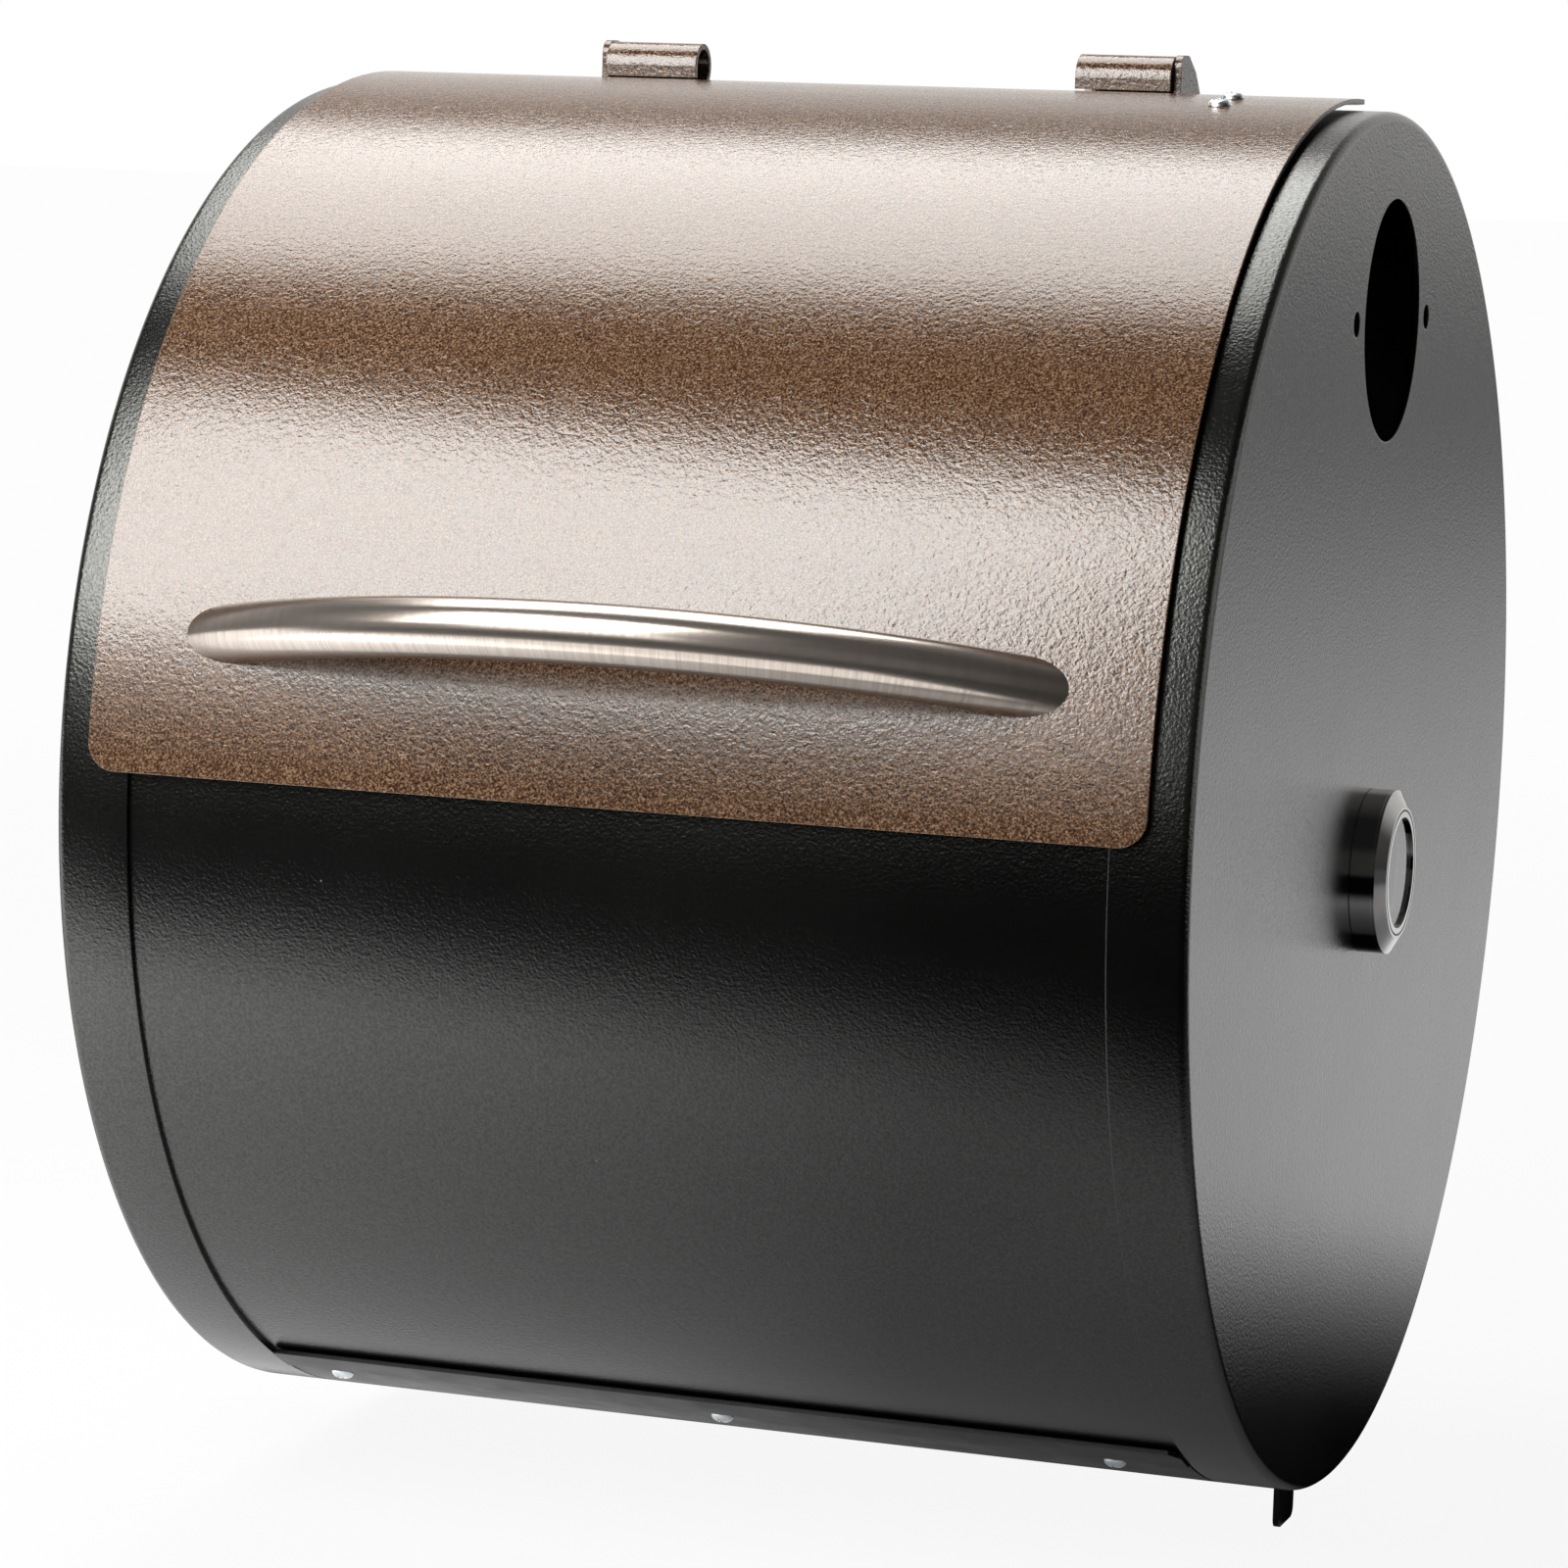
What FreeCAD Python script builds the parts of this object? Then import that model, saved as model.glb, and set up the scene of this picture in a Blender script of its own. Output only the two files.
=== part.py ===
"""Barrel unit of a small pellet smoker grill, in millimetres.

The row frame has +X towards the chimney end, the front of the grill at -Y and +Z up. Its origin is
the middle of the four stand bolt holes, level with the barrel's outside surface at the holes.
Everything is drawn about the barrel's axis, and each sub-part's Placement lifts it by the height of
that axis.
Places on the barrel are given as an angle that starts level at the front, is 90 at the top and is
negative below.
"""

import FreeCAD, Part
import math
import os

import Sketcher

Vector = FreeCAD.Vector

DIMENSIONS = {
    # sheet metal
    "gauge": 1.5,
    "fit_gap": 0.1,
    # barrel
    "rim_radius": 228.6,
    "barrel_length": 369.0,
    "rim_width": 24.9,
    "rim_bend": 3.0,
    "opening_front_angle": 7.0,
    "opening_back_angle": 92.0,
    "seam_angle": -72.0,
    "seam_gap_angle": 0.3,
    # chimney seat in the right cap
    "chimney_hole_radius": 40.1,
    "chimney_across": 7.35,
    "chimney_up": 160.2,
    "chimney_bolt_spacing": 103.0,
    "chimney_bolt_radius": 4.25,
    # stand bolts in the underside
    "stand_spacing_long": 240.0,
    "stand_spacing_deep": 70.0,
    "stand_hole_radius": 4.25,
    # hopper bolts in the left cap
    "hopper_spacing_wide": 150.0,
    "hopper_spacing_tall": 120.0,
    "hopper_pattern_up": -120.0,
    "hopper_hole_radius": 3.5,
    # lid
    "lid_radius": 232.5,
    "lid_length": 343.4,
    "lid_front_angle": 2.7,
    "lid_back_angle": 94.0,
    "lid_corner_radius": 9.0,
    # hinges
    "hinge_across": 29.0,
    "hinge_up": 237.2,
    "knuckle_radius": 7.9,
    "knuckle_bore": 6.0,
    "knuckle_front_up": 233.3,
    "knuckle_inner_end": 68.4,
    "ear_outer_face": 104.5,
    "ear_thickness": 2.5,
    "end_play": 0.3,
    "running_gap": 0.05,
    "pin_length": 26.0,
    # handle
    "handle_radius": 9.5,
    "handle_wall": 1.5,
    "handle_half_chord": 125.5,
    "handle_bow": 35.0,
    "handle_centre": 1.9,
    "handle_foot_angle": 14.0,
    "handle_bow_angle": 17.25,
    "handle_screw_radius": 3.0,
    # small screws
    "screw_radius": 2.0,
    "screw_head_radius": 3.75,
    "screw_head_height": 1.2,
    "screw_crown_height": 0.9,
    "screw_hole_gap": 0.15,
    # thermometer
    "dial_across": 7.35,
    "dial_up": -23.4,
    "case_radius": 27.5,
    "case_depth": 7.4,
    "bezel_front_radius": 22.1,
    "bezel_depth": 3.9,
    "window_radius": 18.6,
    "stem_radius": 3.1,
    "stem_boss_radius": 6.2,
    "stem_reach": 64.0,
    "needle_shaft_radius": 0.8,
    "dial_nut_radius": 10.0,
    # cooking grate
    "grate_up": -10.0,
    "grate_half_width": 155.0,
    "grate_half_depth": 212.0,
    "grate_frame_radius": 3.0,
    "grate_rod_radius": 2.0,
    "grate_rod_pitch": 14.0,
    # drip tray
    "tray_length": 315.0,
    "tray_half_depth": 195.0,
    "tray_wall_height": 12.0,
    "tray_slope": 4.0,
    "tray_left_end": -165.0,
    "tray_left_up": -53.5,
    "crossbar_radius": 4.0,
    # burner
    "baffle_top_up": -100.0,
    "baffle_half_depth": 95.0,
    "baffle_left_end": -130.0,
    "baffle_right_end": 70.0,
    "duct_half_depth": 44.0,
    "duct_top_up": -118.0,
    "duct_bottom_up": -205.0,
    "duct_right_end": 27.0,
    "pot_across": -25.0,
    "pot_radius": 38.0,
    "pot_wall": 2.0,
    "pot_flange_radius": 46.0,
    "pot_bottom_up": -192.0,
    "auger_up": -152.0,
    "auger_tube_radius": 22.0,
    "auger_tube_wall": 1.8,
    "auger_flight_radius": 19.0,
    "auger_shaft_radius": 6.35,
    "auger_pitch": 32.0,
    "auger_blade": 3.0,
    "auger_shaft_end": -235.0,
    "auger_stub_length": 25.0,
    "auger_stub_radius": 6.0,
    "igniter_up": -184.0,
    "igniter_radius": 4.8,
    # temperature probe
    "probe_up": 85.0,
    "probe_radius": 3.0,
    # grease spout
    "spout_middle": 166.8,
    "spout_half_width": 10.5,
    "spout_thickness": 2.0,
    "spout_tip_up": -247.5,
}


class Size:
    """A number together with the spreadsheet expression that gives it."""

    def __init__(self, value, text=None):
        self.value = float(value)
        self.text = text if text else f"{float(value):.9f}".rstrip("0").rstrip(".")

    def joined(self, other, sign, value):
        return Size(value, f"({self.text} {sign} {as_size(other).text})")

    def __add__(self, other):
        return self.joined(other, "+", self.value + as_size(other).value)

    def __sub__(self, other):
        return self.joined(other, "-", self.value - as_size(other).value)

    def __mul__(self, other):
        return self.joined(other, "*", self.value * as_size(other).value)

    def __truediv__(self, other):
        return self.joined(other, "/", self.value / as_size(other).value)

    def __radd__(self, other):
        return as_size(other) + self

    def __rsub__(self, other):
        return as_size(other) - self

    def __rmul__(self, other):
        return as_size(other) * self

    def __neg__(self):
        return Size(-self.value, f"(0 - {self.text})")

    def __float__(self):
        return self.value


def as_size(thing):
    return thing if isinstance(thing, Size) else Size(thing)


def root(size):
    return Size(math.sqrt(size.value), f"sqrt({size.text})")


doc = FreeCAD.newDocument("pellet_grill")
sheet = doc.addObject("Spreadsheet::Sheet", "dims")
nodes = []


class Dims:
    """The spreadsheet's cells, as Size objects named by their aliases."""


D = Dims()
for row, (alias, number) in enumerate(DIMENSIONS.items(), start=1):
    sheet.set(f"A{row}", alias)
    sheet.set(f"B{row}", str(number))
    sheet.setAlias(f"B{row}", alias)
    setattr(D, alias, Size(number, f"dims.{alias}"))
doc.recompute()

# sizes that several pieces share
SHELL_RADIUS = D.rim_radius - D.gauge - D.fit_gap
SHELL_INNER = SHELL_RADIUS - D.gauge
HALF_LENGTH = D.barrel_length / 2
SHELL_HALF = HALF_LENGTH - D.rim_bend - 0.05
CAP_INNER_FACE = HALF_LENGTH - D.gauge
LID_INNER = D.lid_radius - D.gauge
EAR_INNER_FACE = D.ear_outer_face - D.ear_thickness
STAND_REACH = D.stand_spacing_deep / 2
AXIS_HEIGHT = root(SHELL_RADIUS * SHELL_RADIUS - STAND_REACH * STAND_REACH)
OVERCUT = 5.0
HEAD_GAP = 0.1


# ---------------------------------------------------------------- helpers


def bind(item, prop, size):
    item.setExpression(prop, as_size(size).text)


def place(item, corner, rotation=None):
    """Put an object at a corner whose coordinates are bound to the sheet."""
    if rotation is not None:
        item.Placement = FreeCAD.Placement(Vector(0, 0, 0), rotation)
    for letter, size in zip("xyz", corner):
        bind(item, f"Placement.Base.{letter}", size)


def box(name, low, high):
    item = doc.addObject("Part::Box", name)
    for prop, start, end in zip(("Length", "Width", "Height"), low, high):
        bind(item, prop, end - as_size(start))
    place(item, low)
    return item


def cylinder(name, radius, height, start, direction=(0, 0, 1)):
    item = doc.addObject("Part::Cylinder", name)
    bind(item, "Radius", radius)
    bind(item, "Height", height)
    place(item, start, FreeCAD.Rotation(Vector(0, 0, 1), Vector(*direction)))
    return item


def sector(name, radius, left, right, start_angle, end_angle):
    """A slice of a round bar on the barrel's axis, between two angles and two ends."""
    item = doc.addObject("Part::Cylinder", name)
    start = math.radians(float(start_angle))
    bind(item, "Radius", radius)
    bind(item, "Height", right - as_size(left))
    bind(item, "Angle", end_angle - as_size(start_angle))
    turn = FreeCAD.Rotation(
        Vector(0, -math.cos(start), math.sin(start)),
        Vector(0, math.sin(start), math.cos(start)),
        Vector(-1, 0, 0),
        "ZXY",
    )
    place(item, (right, 0, 0), turn)
    return item


def fuse(name, items):
    item = doc.addObject("Part::MultiFuse", name)
    item.Shapes = items
    return item


def cut(name, base, tools):
    """Base with every tool taken away."""
    item = doc.addObject("Part::Cut", name)
    item.Base = base
    item.Tool = tools[0] if len(tools) == 1 else fuse(name + "_tools", tools)
    return item


def common(name, first, second):
    item = doc.addObject("Part::Common", name)
    item.Base = first
    item.Tool = second
    return item


def rolled_sheet(name, outer, inner, left, right, start_angle, end_angle):
    """A piece of tube wall about the barrel's axis."""
    solid = sector(name + "_outer", outer, left, right, start_angle, end_angle)
    core_length = right - as_size(left) + 2 * OVERCUT
    core = cylinder(name + "_core", inner, core_length, (left - Size(OVERCUT), 0, 0), (1, 0, 0))
    return cut(name, solid, [core])


def radial(angle):
    """Unit vector out of the barrel's axis at an angle."""
    turn = math.radians(float(angle))
    return (0.0, -math.cos(turn), math.sin(turn))


def spot(across, radius, angle):
    """Point on the barrel at a place along the axis, a radius and an angle."""
    out = radial(angle)
    return (float(across), float(radius) * out[1], float(radius) * out[2])


def body_sketch(body, name, role, points):
    """Closed outline through points on one of the body's own planes, fixed by the sheet."""
    sketch = body.newObject("Sketcher::SketchObject", name)
    plane = next(f for f in body.Origin.OriginFeatures if f.Role == role)
    sketch.AttachmentSupport = (plane, [""])
    sketch.MapMode = "FlatFace"
    points = [(as_size(a), as_size(b)) for a, b in points]
    count = len(points)
    for index, (a, b) in enumerate(points):
        c, d = points[(index + 1) % count]
        line = Part.LineSegment(Vector(a.value, b.value, 0), Vector(c.value, d.value, 0))
        sketch.addGeometry(line, False)
    for index in range(count):
        sketch.addConstraint(Sketcher.Constraint("Coincident", index, 2, (index + 1) % count, 1))
    for index, pair in enumerate(points):
        for kind, axis, size in zip(("DistanceX", "DistanceY"), (-2, -1), pair):
            if abs(size.value) < 1e-9:
                sketch.addConstraint(Sketcher.Constraint("PointOnObject", index, 1, axis))
                continue
            number = sketch.addConstraint(
                Sketcher.Constraint(kind, -1, 1, index, 1, size.value)
            )
            label = f"{kind}_{index}"
            sketch.renameConstraint(number, label)
            sketch.setExpression(f"Constraints.{label}", size.text)
    return sketch


def turned(name, points, axis="H_Axis"):
    """Body turned from an outline in the XZ plane, about X (H_Axis) or about Z (V_Axis)."""
    body = doc.addObject("PartDesign::Body", name)
    sketch = body_sketch(body, name + "_outline", "XZ_Plane", points)
    revolution = body.newObject("PartDesign::Revolution", name + "_turn")
    revolution.Profile = sketch
    revolution.ReferenceAxis = (sketch, [axis])
    revolution.Angle = 360
    body.Tip = revolution
    return body


def extruded(name, points, length):
    """Body with an outline in the YZ plane, drawn out along +X."""
    body = doc.addObject("PartDesign::Body", name)
    sketch = body_sketch(body, name + "_outline", "YZ_Plane", points)
    pad = body.newObject("PartDesign::Pad", name + "_pad")
    pad.Profile = sketch
    bind(pad, "Length", length)
    body.Tip = pad
    return body


def edge_numbers(shape, test):
    return [number for number, edge in enumerate(shape.Edges, start=1) if test(edge)]


def body_fillet(body, name, radius, test):
    """Round those edges of a body that pass a test."""
    doc.recompute()
    previous = body.Tip
    picked = [f"Edge{number}" for number in edge_numbers(previous.Shape, test)]
    fillet = body.newObject("PartDesign::Fillet", name)
    fillet.Base = (previous, picked)
    bind(fillet, "Radius", radius)
    body.Tip = fillet


def part_fillet(name, base, radius, test):
    doc.recompute()
    item = doc.addObject("Part::Fillet", name)
    item.Base = base
    item.Edges = [(number, radius, radius) for number in edge_numbers(base.Shape, test)]
    return item


def node(label, item, corner=(0, 0, 0)):
    """Name a finished sub-part and lift it from the barrel's axis to the row frame."""
    item.Label = label
    for letter, size in zip("xy", corner[:2]):
        bind(item, f"Placement.Base.{letter}", size)
    bind(item, "Placement.Base.z", AXIS_HEIGHT + corner[2])
    nodes.append(item)


def screw(name, under_head, outward, shank_length, size_factor=1.0):
    """Pan-head screw whose head sits on a point, with its shank going inwards."""
    shank = D.screw_radius * size_factor
    head = D.screw_head_radius * size_factor
    rim = D.screw_head_height * size_factor
    crown = rim + D.screw_crown_height * size_factor
    points = [
        (-shank_length, 0),
        (-shank_length, shank),
        (0, shank),
        (0, head),
        (rim, head),
        (crown, head * 0.62),
        (crown, 0),
    ]
    body = turned(name, points)
    place(body, under_head, FreeCAD.Rotation(Vector(1, 0, 0), Vector(*outward)))
    return body


def screw_hole(name, under_head, outward, depth, size_factor=1.0):
    """Tool that clears a screw's shank through sheets below its head."""
    start = tuple(point + part for point, part in zip(under_head, outward))
    inward = tuple(-part for part in outward)
    radius = D.screw_radius * size_factor + D.screw_hole_gap
    return cylinder(name, radius, depth + 1.0, start, inward)


def screw_set(label, seats, shank_length, size_factor=1.0):
    """One node with a screw on every seat."""
    screws = []
    for number, (point, outward) in enumerate(seats):
        screws.append(screw(f"{label}_{number}", point, outward, shank_length, size_factor))
    node(label, fuse(label, screws))


def seat_holes(name, seats, depth, size_factor=1.0):
    tools = []
    for number, (point, outward) in enumerate(seats):
        tools.append(screw_hole(f"{name}_{number}", point, outward, depth, size_factor))
    return tools


# ------------------------------------------------ where the screws sit

STRIP_TOP = SHELL_RADIUS + D.fit_gap + D.gauge
SEAM_SEATS = [(spot(x, STRIP_TOP, -65.9), radial(-65.9)) for x in (-140.9, -3.1, 132.5)]

LID_BRACKET_SEATS = [(spot(135.0, D.lid_radius, a), radial(a)) for a in (80.0, 84.2)]

FLANGE_TOP = SHELL_RADIUS + 0.05 + 2.0
HINGE_SEATS = [
    (spot(side * x, FLANGE_TOP, 105.0), radial(105.0)) for side in (-1, 1) for x in (79.0, 95.0)
]

BURNER_SEATS = [
    ((-float(HALF_LENGTH), y, z), (-1.0, 0.0, 0.0)) for y in (-50.5, 50.5) for z in (-113.0, -207.0)
]

HANDLE_SEATS = [
    (spot(float(D.handle_centre) + side * 121.0, LID_INNER - HEAD_GAP, D.handle_foot_angle), side)
    for side in (-1, 1)
]


# ---------------------------------------------------------------- barrel


def front_panel():
    """Rolled front sheet, from the lid opening down to the seam."""
    seam = D.seam_angle + D.seam_gap_angle / 2
    sheet_piece = rolled_sheet(
        "front_panel_sheet",
        SHELL_RADIUS,
        SHELL_INNER,
        -SHELL_HALF,
        SHELL_HALF,
        seam,
        D.opening_front_angle,
    )
    holes = seat_holes("front_panel_hole", SEAM_SEATS, 6.0)
    node("front_panel", cut("front_panel", sheet_piece, holes))


def spout_slot(name, half_gap):
    """Tool for the slot that the grease spout hangs through."""
    middle = D.spout_middle
    half = D.spout_thickness / 2 + half_gap
    reach = D.spout_half_width + half_gap
    low = (middle - half, -reach, -D.rim_radius - OVERCUT)
    high = (middle + half, reach, -SHELL_INNER + 10.0)
    return box(name, low, high)


def stand_holes():
    """Tools for the four upright holes in the underside."""
    tools = []
    for side_x in (-1, 1):
        for side_y in (-1, 1):
            start = (
                D.stand_spacing_long / 2 * side_x,
                D.stand_spacing_deep / 2 * side_y,
                -SHELL_RADIUS - OVERCUT,
            )
            tools.append(cylinder("stand_hole", D.stand_hole_radius, 30.0, start))
    return tools


def rear_shell():
    """Rolled sheet from the seam, under the barrel and up the back to the lid opening."""
    sheet_piece = rolled_sheet(
        "rear_shell_sheet",
        SHELL_RADIUS,
        SHELL_INNER,
        -SHELL_HALF,
        SHELL_HALF,
        D.opening_back_angle - 360,
        D.seam_angle - D.seam_gap_angle / 2,
    )
    tools = [spout_slot("shell_slot", 0.8)] + stand_holes()
    tools += seat_holes("rear_shell_hole", HINGE_SEATS, 8.0)
    node("rear_shell", cut("rear_shell", sheet_piece, tools))


def cap_blank(name, face, inward):
    """Pressed cap: a disc with a bent rim that laps over the rolled sheets."""
    sign = 1 if inward < 0 else -1
    inside = face - sign * D.gauge
    rim_end = face - sign * D.rim_width
    points = [
        (inside, 0),
        (face, 0),
        (face, D.rim_radius),
        (rim_end, D.rim_radius),
        (rim_end, D.rim_radius - D.gauge),
        (inside, D.rim_radius - D.gauge),
    ]
    body = turned(name, points)
    outer = float(D.rim_radius)
    inner = outer - float(D.gauge)

    def circle_at(radius, place_x):
        def test(edge):
            curve = edge.Curve
            if not isinstance(curve, Part.Circle):
                return False
            return abs(curve.Radius - radius) < 1e-3 and abs(curve.Center.x - place_x) < 1e-3

        return test

    body_fillet(body, name + "_bend", D.rim_bend, circle_at(outer, float(face)))
    body_fillet(body, name + "_inside", D.rim_bend - D.gauge, circle_at(inner, float(inside)))
    return body


def right_end_cap():
    """Cap with the chimney hole, its two bolt holes and the thermometer hole."""
    start = (HALF_LENGTH - 2 * OVERCUT, D.chimney_across, D.chimney_up)
    tools = [cylinder("chimney_hole", D.chimney_hole_radius, 20.0, start, (1, 0, 0))]
    for side in (-1, 1):
        across = D.chimney_across + D.chimney_bolt_spacing / 2 * side
        place_at = (start[0], across, D.chimney_up)
        tools.append(cylinder("chimney_bolt", D.chimney_bolt_radius, 20.0, place_at, (1, 0, 0)))
    place_at = (start[0], D.dial_across, D.dial_up)
    tools.append(cylinder("stem_hole", D.stem_boss_radius + 0.2, 20.0, place_at, (1, 0, 0)))
    tools.append(spout_slot("rim_slot", 0.8))
    node("right_end_cap", cut("right_end_cap", cap_blank("right_cap_blank", HALF_LENGTH, -1), tools))


def left_end_cap():
    """Cap with the burner opening, the hopper's four bolt holes and the probe hole."""
    wall = D.gauge
    inside = D.duct_half_depth - wall
    low = (-HALF_LENGTH - OVERCUT, -inside, D.duct_bottom_up + wall)
    high = (-HALF_LENGTH + 3 * OVERCUT, inside, D.duct_top_up - wall)
    tools = [box("burner_opening", low, high)]
    start_x = -HALF_LENGTH - OVERCUT
    for side_y in (-1, 1):
        for side_z in (-1, 1):
            across = D.hopper_spacing_wide / 2 * side_y
            up = D.hopper_pattern_up + D.hopper_spacing_tall / 2 * side_z
            place_at = (start_x, across, up)
            tools.append(cylinder("hopper_hole", D.hopper_hole_radius, 15.0, place_at, (1, 0, 0)))
    tools.append(cylinder("probe_hole", D.probe_radius + 2.6, 15.0, (start_x, 0, D.probe_up), (1, 0, 0)))
    tools += seat_holes("burner_hole", BURNER_SEATS, 12.0)
    node("left_end_cap", cut("left_end_cap", cap_blank("left_cap_blank", -HALF_LENGTH, 1), tools))


def seam_strip():
    """Strip over the seam, with a raised lip along its front edge and clipped lip corners."""
    half = HALF_LENGTH - D.rim_width - 1.0
    inner = SHELL_RADIUS + D.fit_gap
    strip = rolled_sheet("strip_band", inner + D.gauge, inner, -half, half, -78.5, -64.0)
    lip = rolled_sheet("strip_lip", inner + 2.3, inner + 0.8, -half, half, -64.4, -60.5)
    tools = seat_holes("strip_hole", SEAM_SEATS, 6.0)
    for side, size in ((-1, 5.0), (1, 8.0)):
        corner = doc.addObject("Part::Box", "strip_corner")
        corner.Length, corner.Width, corner.Height = size, size, 20.0
        lean = FreeCAD.Rotation(Vector(0, 0, 1), Vector(*radial(-60.0)))
        lean = lean.multiply(FreeCAD.Rotation(Vector(0, 0, 1), 45))
        end = Vector(*spot(side * float(half), inner, -60.0))
        middle = lean.multVec(Vector(size / 2, size / 2, 10.0))
        corner.Placement = FreeCAD.Placement(end - middle, lean)
        tools.append(corner)
    node("seam_strip", cut("seam_strip", fuse("strip_sheet", [strip, lip]), tools))


def grease_spout():
    """Tongue that leads grease out through the slot at the right end."""
    middle = D.spout_middle
    half = D.spout_thickness / 2
    reach = D.spout_half_width
    top = -SHELL_INNER + 2.3
    tongue = box("tongue", (middle - half, -reach, D.spout_tip_up), (middle + half, reach, top))
    lip = box("catch_lip", (middle - 26.0, -reach, top - 2.0), (middle + half, reach, top))

    def tip_corner(edge):
        middle_point = edge.CenterOfMass
        along_x = abs(edge.tangentAt(edge.FirstParameter).x) > 0.99
        low = abs(middle_point.z - float(D.spout_tip_up)) < 1e-3
        return along_x and low

    rounded = part_fillet("spout_round", fuse("spout_sheet", [tongue, lip]), 3.5, tip_corner)
    node("grease_spout", rounded)


# ---------------------------------------------------------------- hinges


def hinge_brackets():
    """Two mirrored ears, each with a curved flange screwed to the rear shell."""
    ear_points = [
        (24.8, 222.0),
        (24.8, 245.5),
        (34.5, 245.5),
        (44.0, 240.0),
        (64.0, 217.5),
        (64.0, 210.0),
    ]
    pieces = []
    for side in (-1, 1):
        left = -D.ear_outer_face if side < 0 else EAR_INNER_FACE
        ear = extruded("ear", ear_points, D.ear_thickness)
        place(ear, (left, 0, 0))

        def top_corner(edge):
            middle_point = edge.CenterOfMass
            along_x = abs(edge.tangentAt(edge.FirstParameter).x) > 0.99
            return along_x and middle_point.z > 238.0

        body_fillet(ear, "ear_round", 4.2, top_corner)
        flange_left = -D.ear_outer_face if side < 0 else Size(70.0)
        flange_right = Size(-70.0) if side < 0 else D.ear_outer_face
        flange = rolled_sheet(
            "hinge_flange", FLANGE_TOP, FLANGE_TOP - 2.0, flange_left, flange_right, 99.2, 108.5
        )
        pieces += [ear, flange]
    core = cylinder("bracket_core", SHELL_RADIUS + 0.05, 400.0, (-200, 0, 0), (1, 0, 0))
    tools = [core] + seat_holes("bracket_hole", HINGE_SEATS, 8.0)
    node("hinge_brackets", cut("hinge_brackets", fuse("bracket_sheet", pieces), tools))


def hinge_pins():
    """Pins welded to the ears, one in each knuckle."""
    radius = D.knuckle_bore - D.running_gap
    pins = []
    for side in (-1, 1):
        start = (EAR_INNER_FACE * side, D.hinge_across, D.hinge_up)
        pins.append(cylinder("hinge_pin", radius, D.pin_length, start, (-side, 0, 0)))
    node("hinge_pins", fuse("hinge_pins", pins))


def hinge_knuckles():
    """Two bronze leaves under the lid's back edge, rolled round the pins."""
    leaves = []
    for side in (-1, 1):
        outer_end = EAR_INNER_FACE - D.end_play
        left = -outer_end if side < 0 else D.knuckle_inner_end
        right = -D.knuckle_inner_end if side < 0 else outer_end
        length = right - left
        centre = (right, D.hinge_across, D.hinge_up)
        roll = doc.addObject("Part::Cylinder", "knuckle_roll")
        bind(roll, "Radius", D.knuckle_radius)
        bind(roll, "Height", length)
        roll.Angle = 270
        turn = FreeCAD.Rotation(Vector(0, 0, -1), Vector(0, -1, 0), Vector(-1, 0, 0), "ZXY")
        place(roll, centre, turn.multiply(FreeCAD.Rotation(Vector(0, 0, 1), 90)))
        front = D.hinge_across - D.knuckle_radius
        wall = D.knuckle_radius - D.knuckle_bore
        apron = box(
            "knuckle_apron", (left, front, D.knuckle_front_up), (right, front + wall, D.hinge_up)
        )
        leaf = box("knuckle_leaf", (left, 15.0, 228.5), (right, D.hinge_across + 2.5, 230.2))
        under = rolled_sheet(
            "knuckle_under", LID_INNER - 0.1, LID_INNER - 1.8, left, right, 88.0, 94.0
        )
        bore_start = (left - OVERCUT, D.hinge_across, D.hinge_up)
        bore = cylinder("knuckle_bore", D.knuckle_bore, length + 2 * OVERCUT, bore_start, (1, 0, 0))
        solid = fuse("knuckle_solid", [roll, apron, leaf, under])
        leaves.append(cut("knuckle", solid, [bore]))
    node("hinge_knuckles", fuse("hinge_knuckles", leaves))


# ---------------------------------------------------------------- lid


def lid_skin():
    """Rolled lid with rounded corners."""
    half = D.lid_length / 2
    sheet_piece = rolled_sheet(
        "lid_sheet", D.lid_radius, LID_INNER, -half, half, D.lid_front_angle, D.lid_back_angle
    )

    def corner_edge(edge):
        at_end = abs(abs(edge.CenterOfMass.x) - float(half)) < 1e-3
        return at_end and abs(edge.Length - float(D.gauge)) < 1e-3

    rounded = part_fillet("lid_rounded", sheet_piece, float(D.lid_corner_radius), corner_edge)
    tools = seat_holes("lid_bracket_hole", LID_BRACKET_SEATS, 8.0)
    outward = radial(D.handle_foot_angle)
    for point, side in HANDLE_SEATS:
        start = tuple(p - 3.0 * o for p, o in zip(point, outward))
        tools.append(cylinder("handle_hole", D.handle_screw_radius + 0.2, 10.0, start, outward))
    node("lid_skin", cut("lid_skin", rounded, tools))


def handle_ring(name, radius):
    """Piece of a ring that carries the handle's bow, run on past the lid at both ends."""
    chord = float(D.handle_half_chord)
    bow = float(D.handle_bow)
    ring_radius = (chord * chord + bow * bow) / (2 * bow)
    half_turn = math.asin(chord / ring_radius) + math.radians(7.0)
    outward = Vector(*radial(D.handle_bow_angle))
    along = Vector(1, 0, 0)
    foot = Vector(*spot(D.handle_centre, D.lid_radius, D.handle_foot_angle))
    centre = foot + outward * (bow - ring_radius)
    first = outward * math.cos(half_turn) - along * math.sin(half_turn)
    axis = outward.cross(along)
    ring = doc.addObject("Part::Torus", name)
    ring.Radius1 = ring_radius
    bind(ring, "Radius2", radius)
    ring.Angle3 = math.degrees(2 * half_turn)
    ring.Placement = FreeCAD.Placement(centre, FreeCAD.Rotation(first, axis.cross(first), axis, "ZXY"))
    return ring


def lid_core(name, gap):
    start = (-HALF_LENGTH, 0, 0)
    return cylinder(name, D.lid_radius + gap, D.barrel_length, start, (1, 0, 0))


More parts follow.
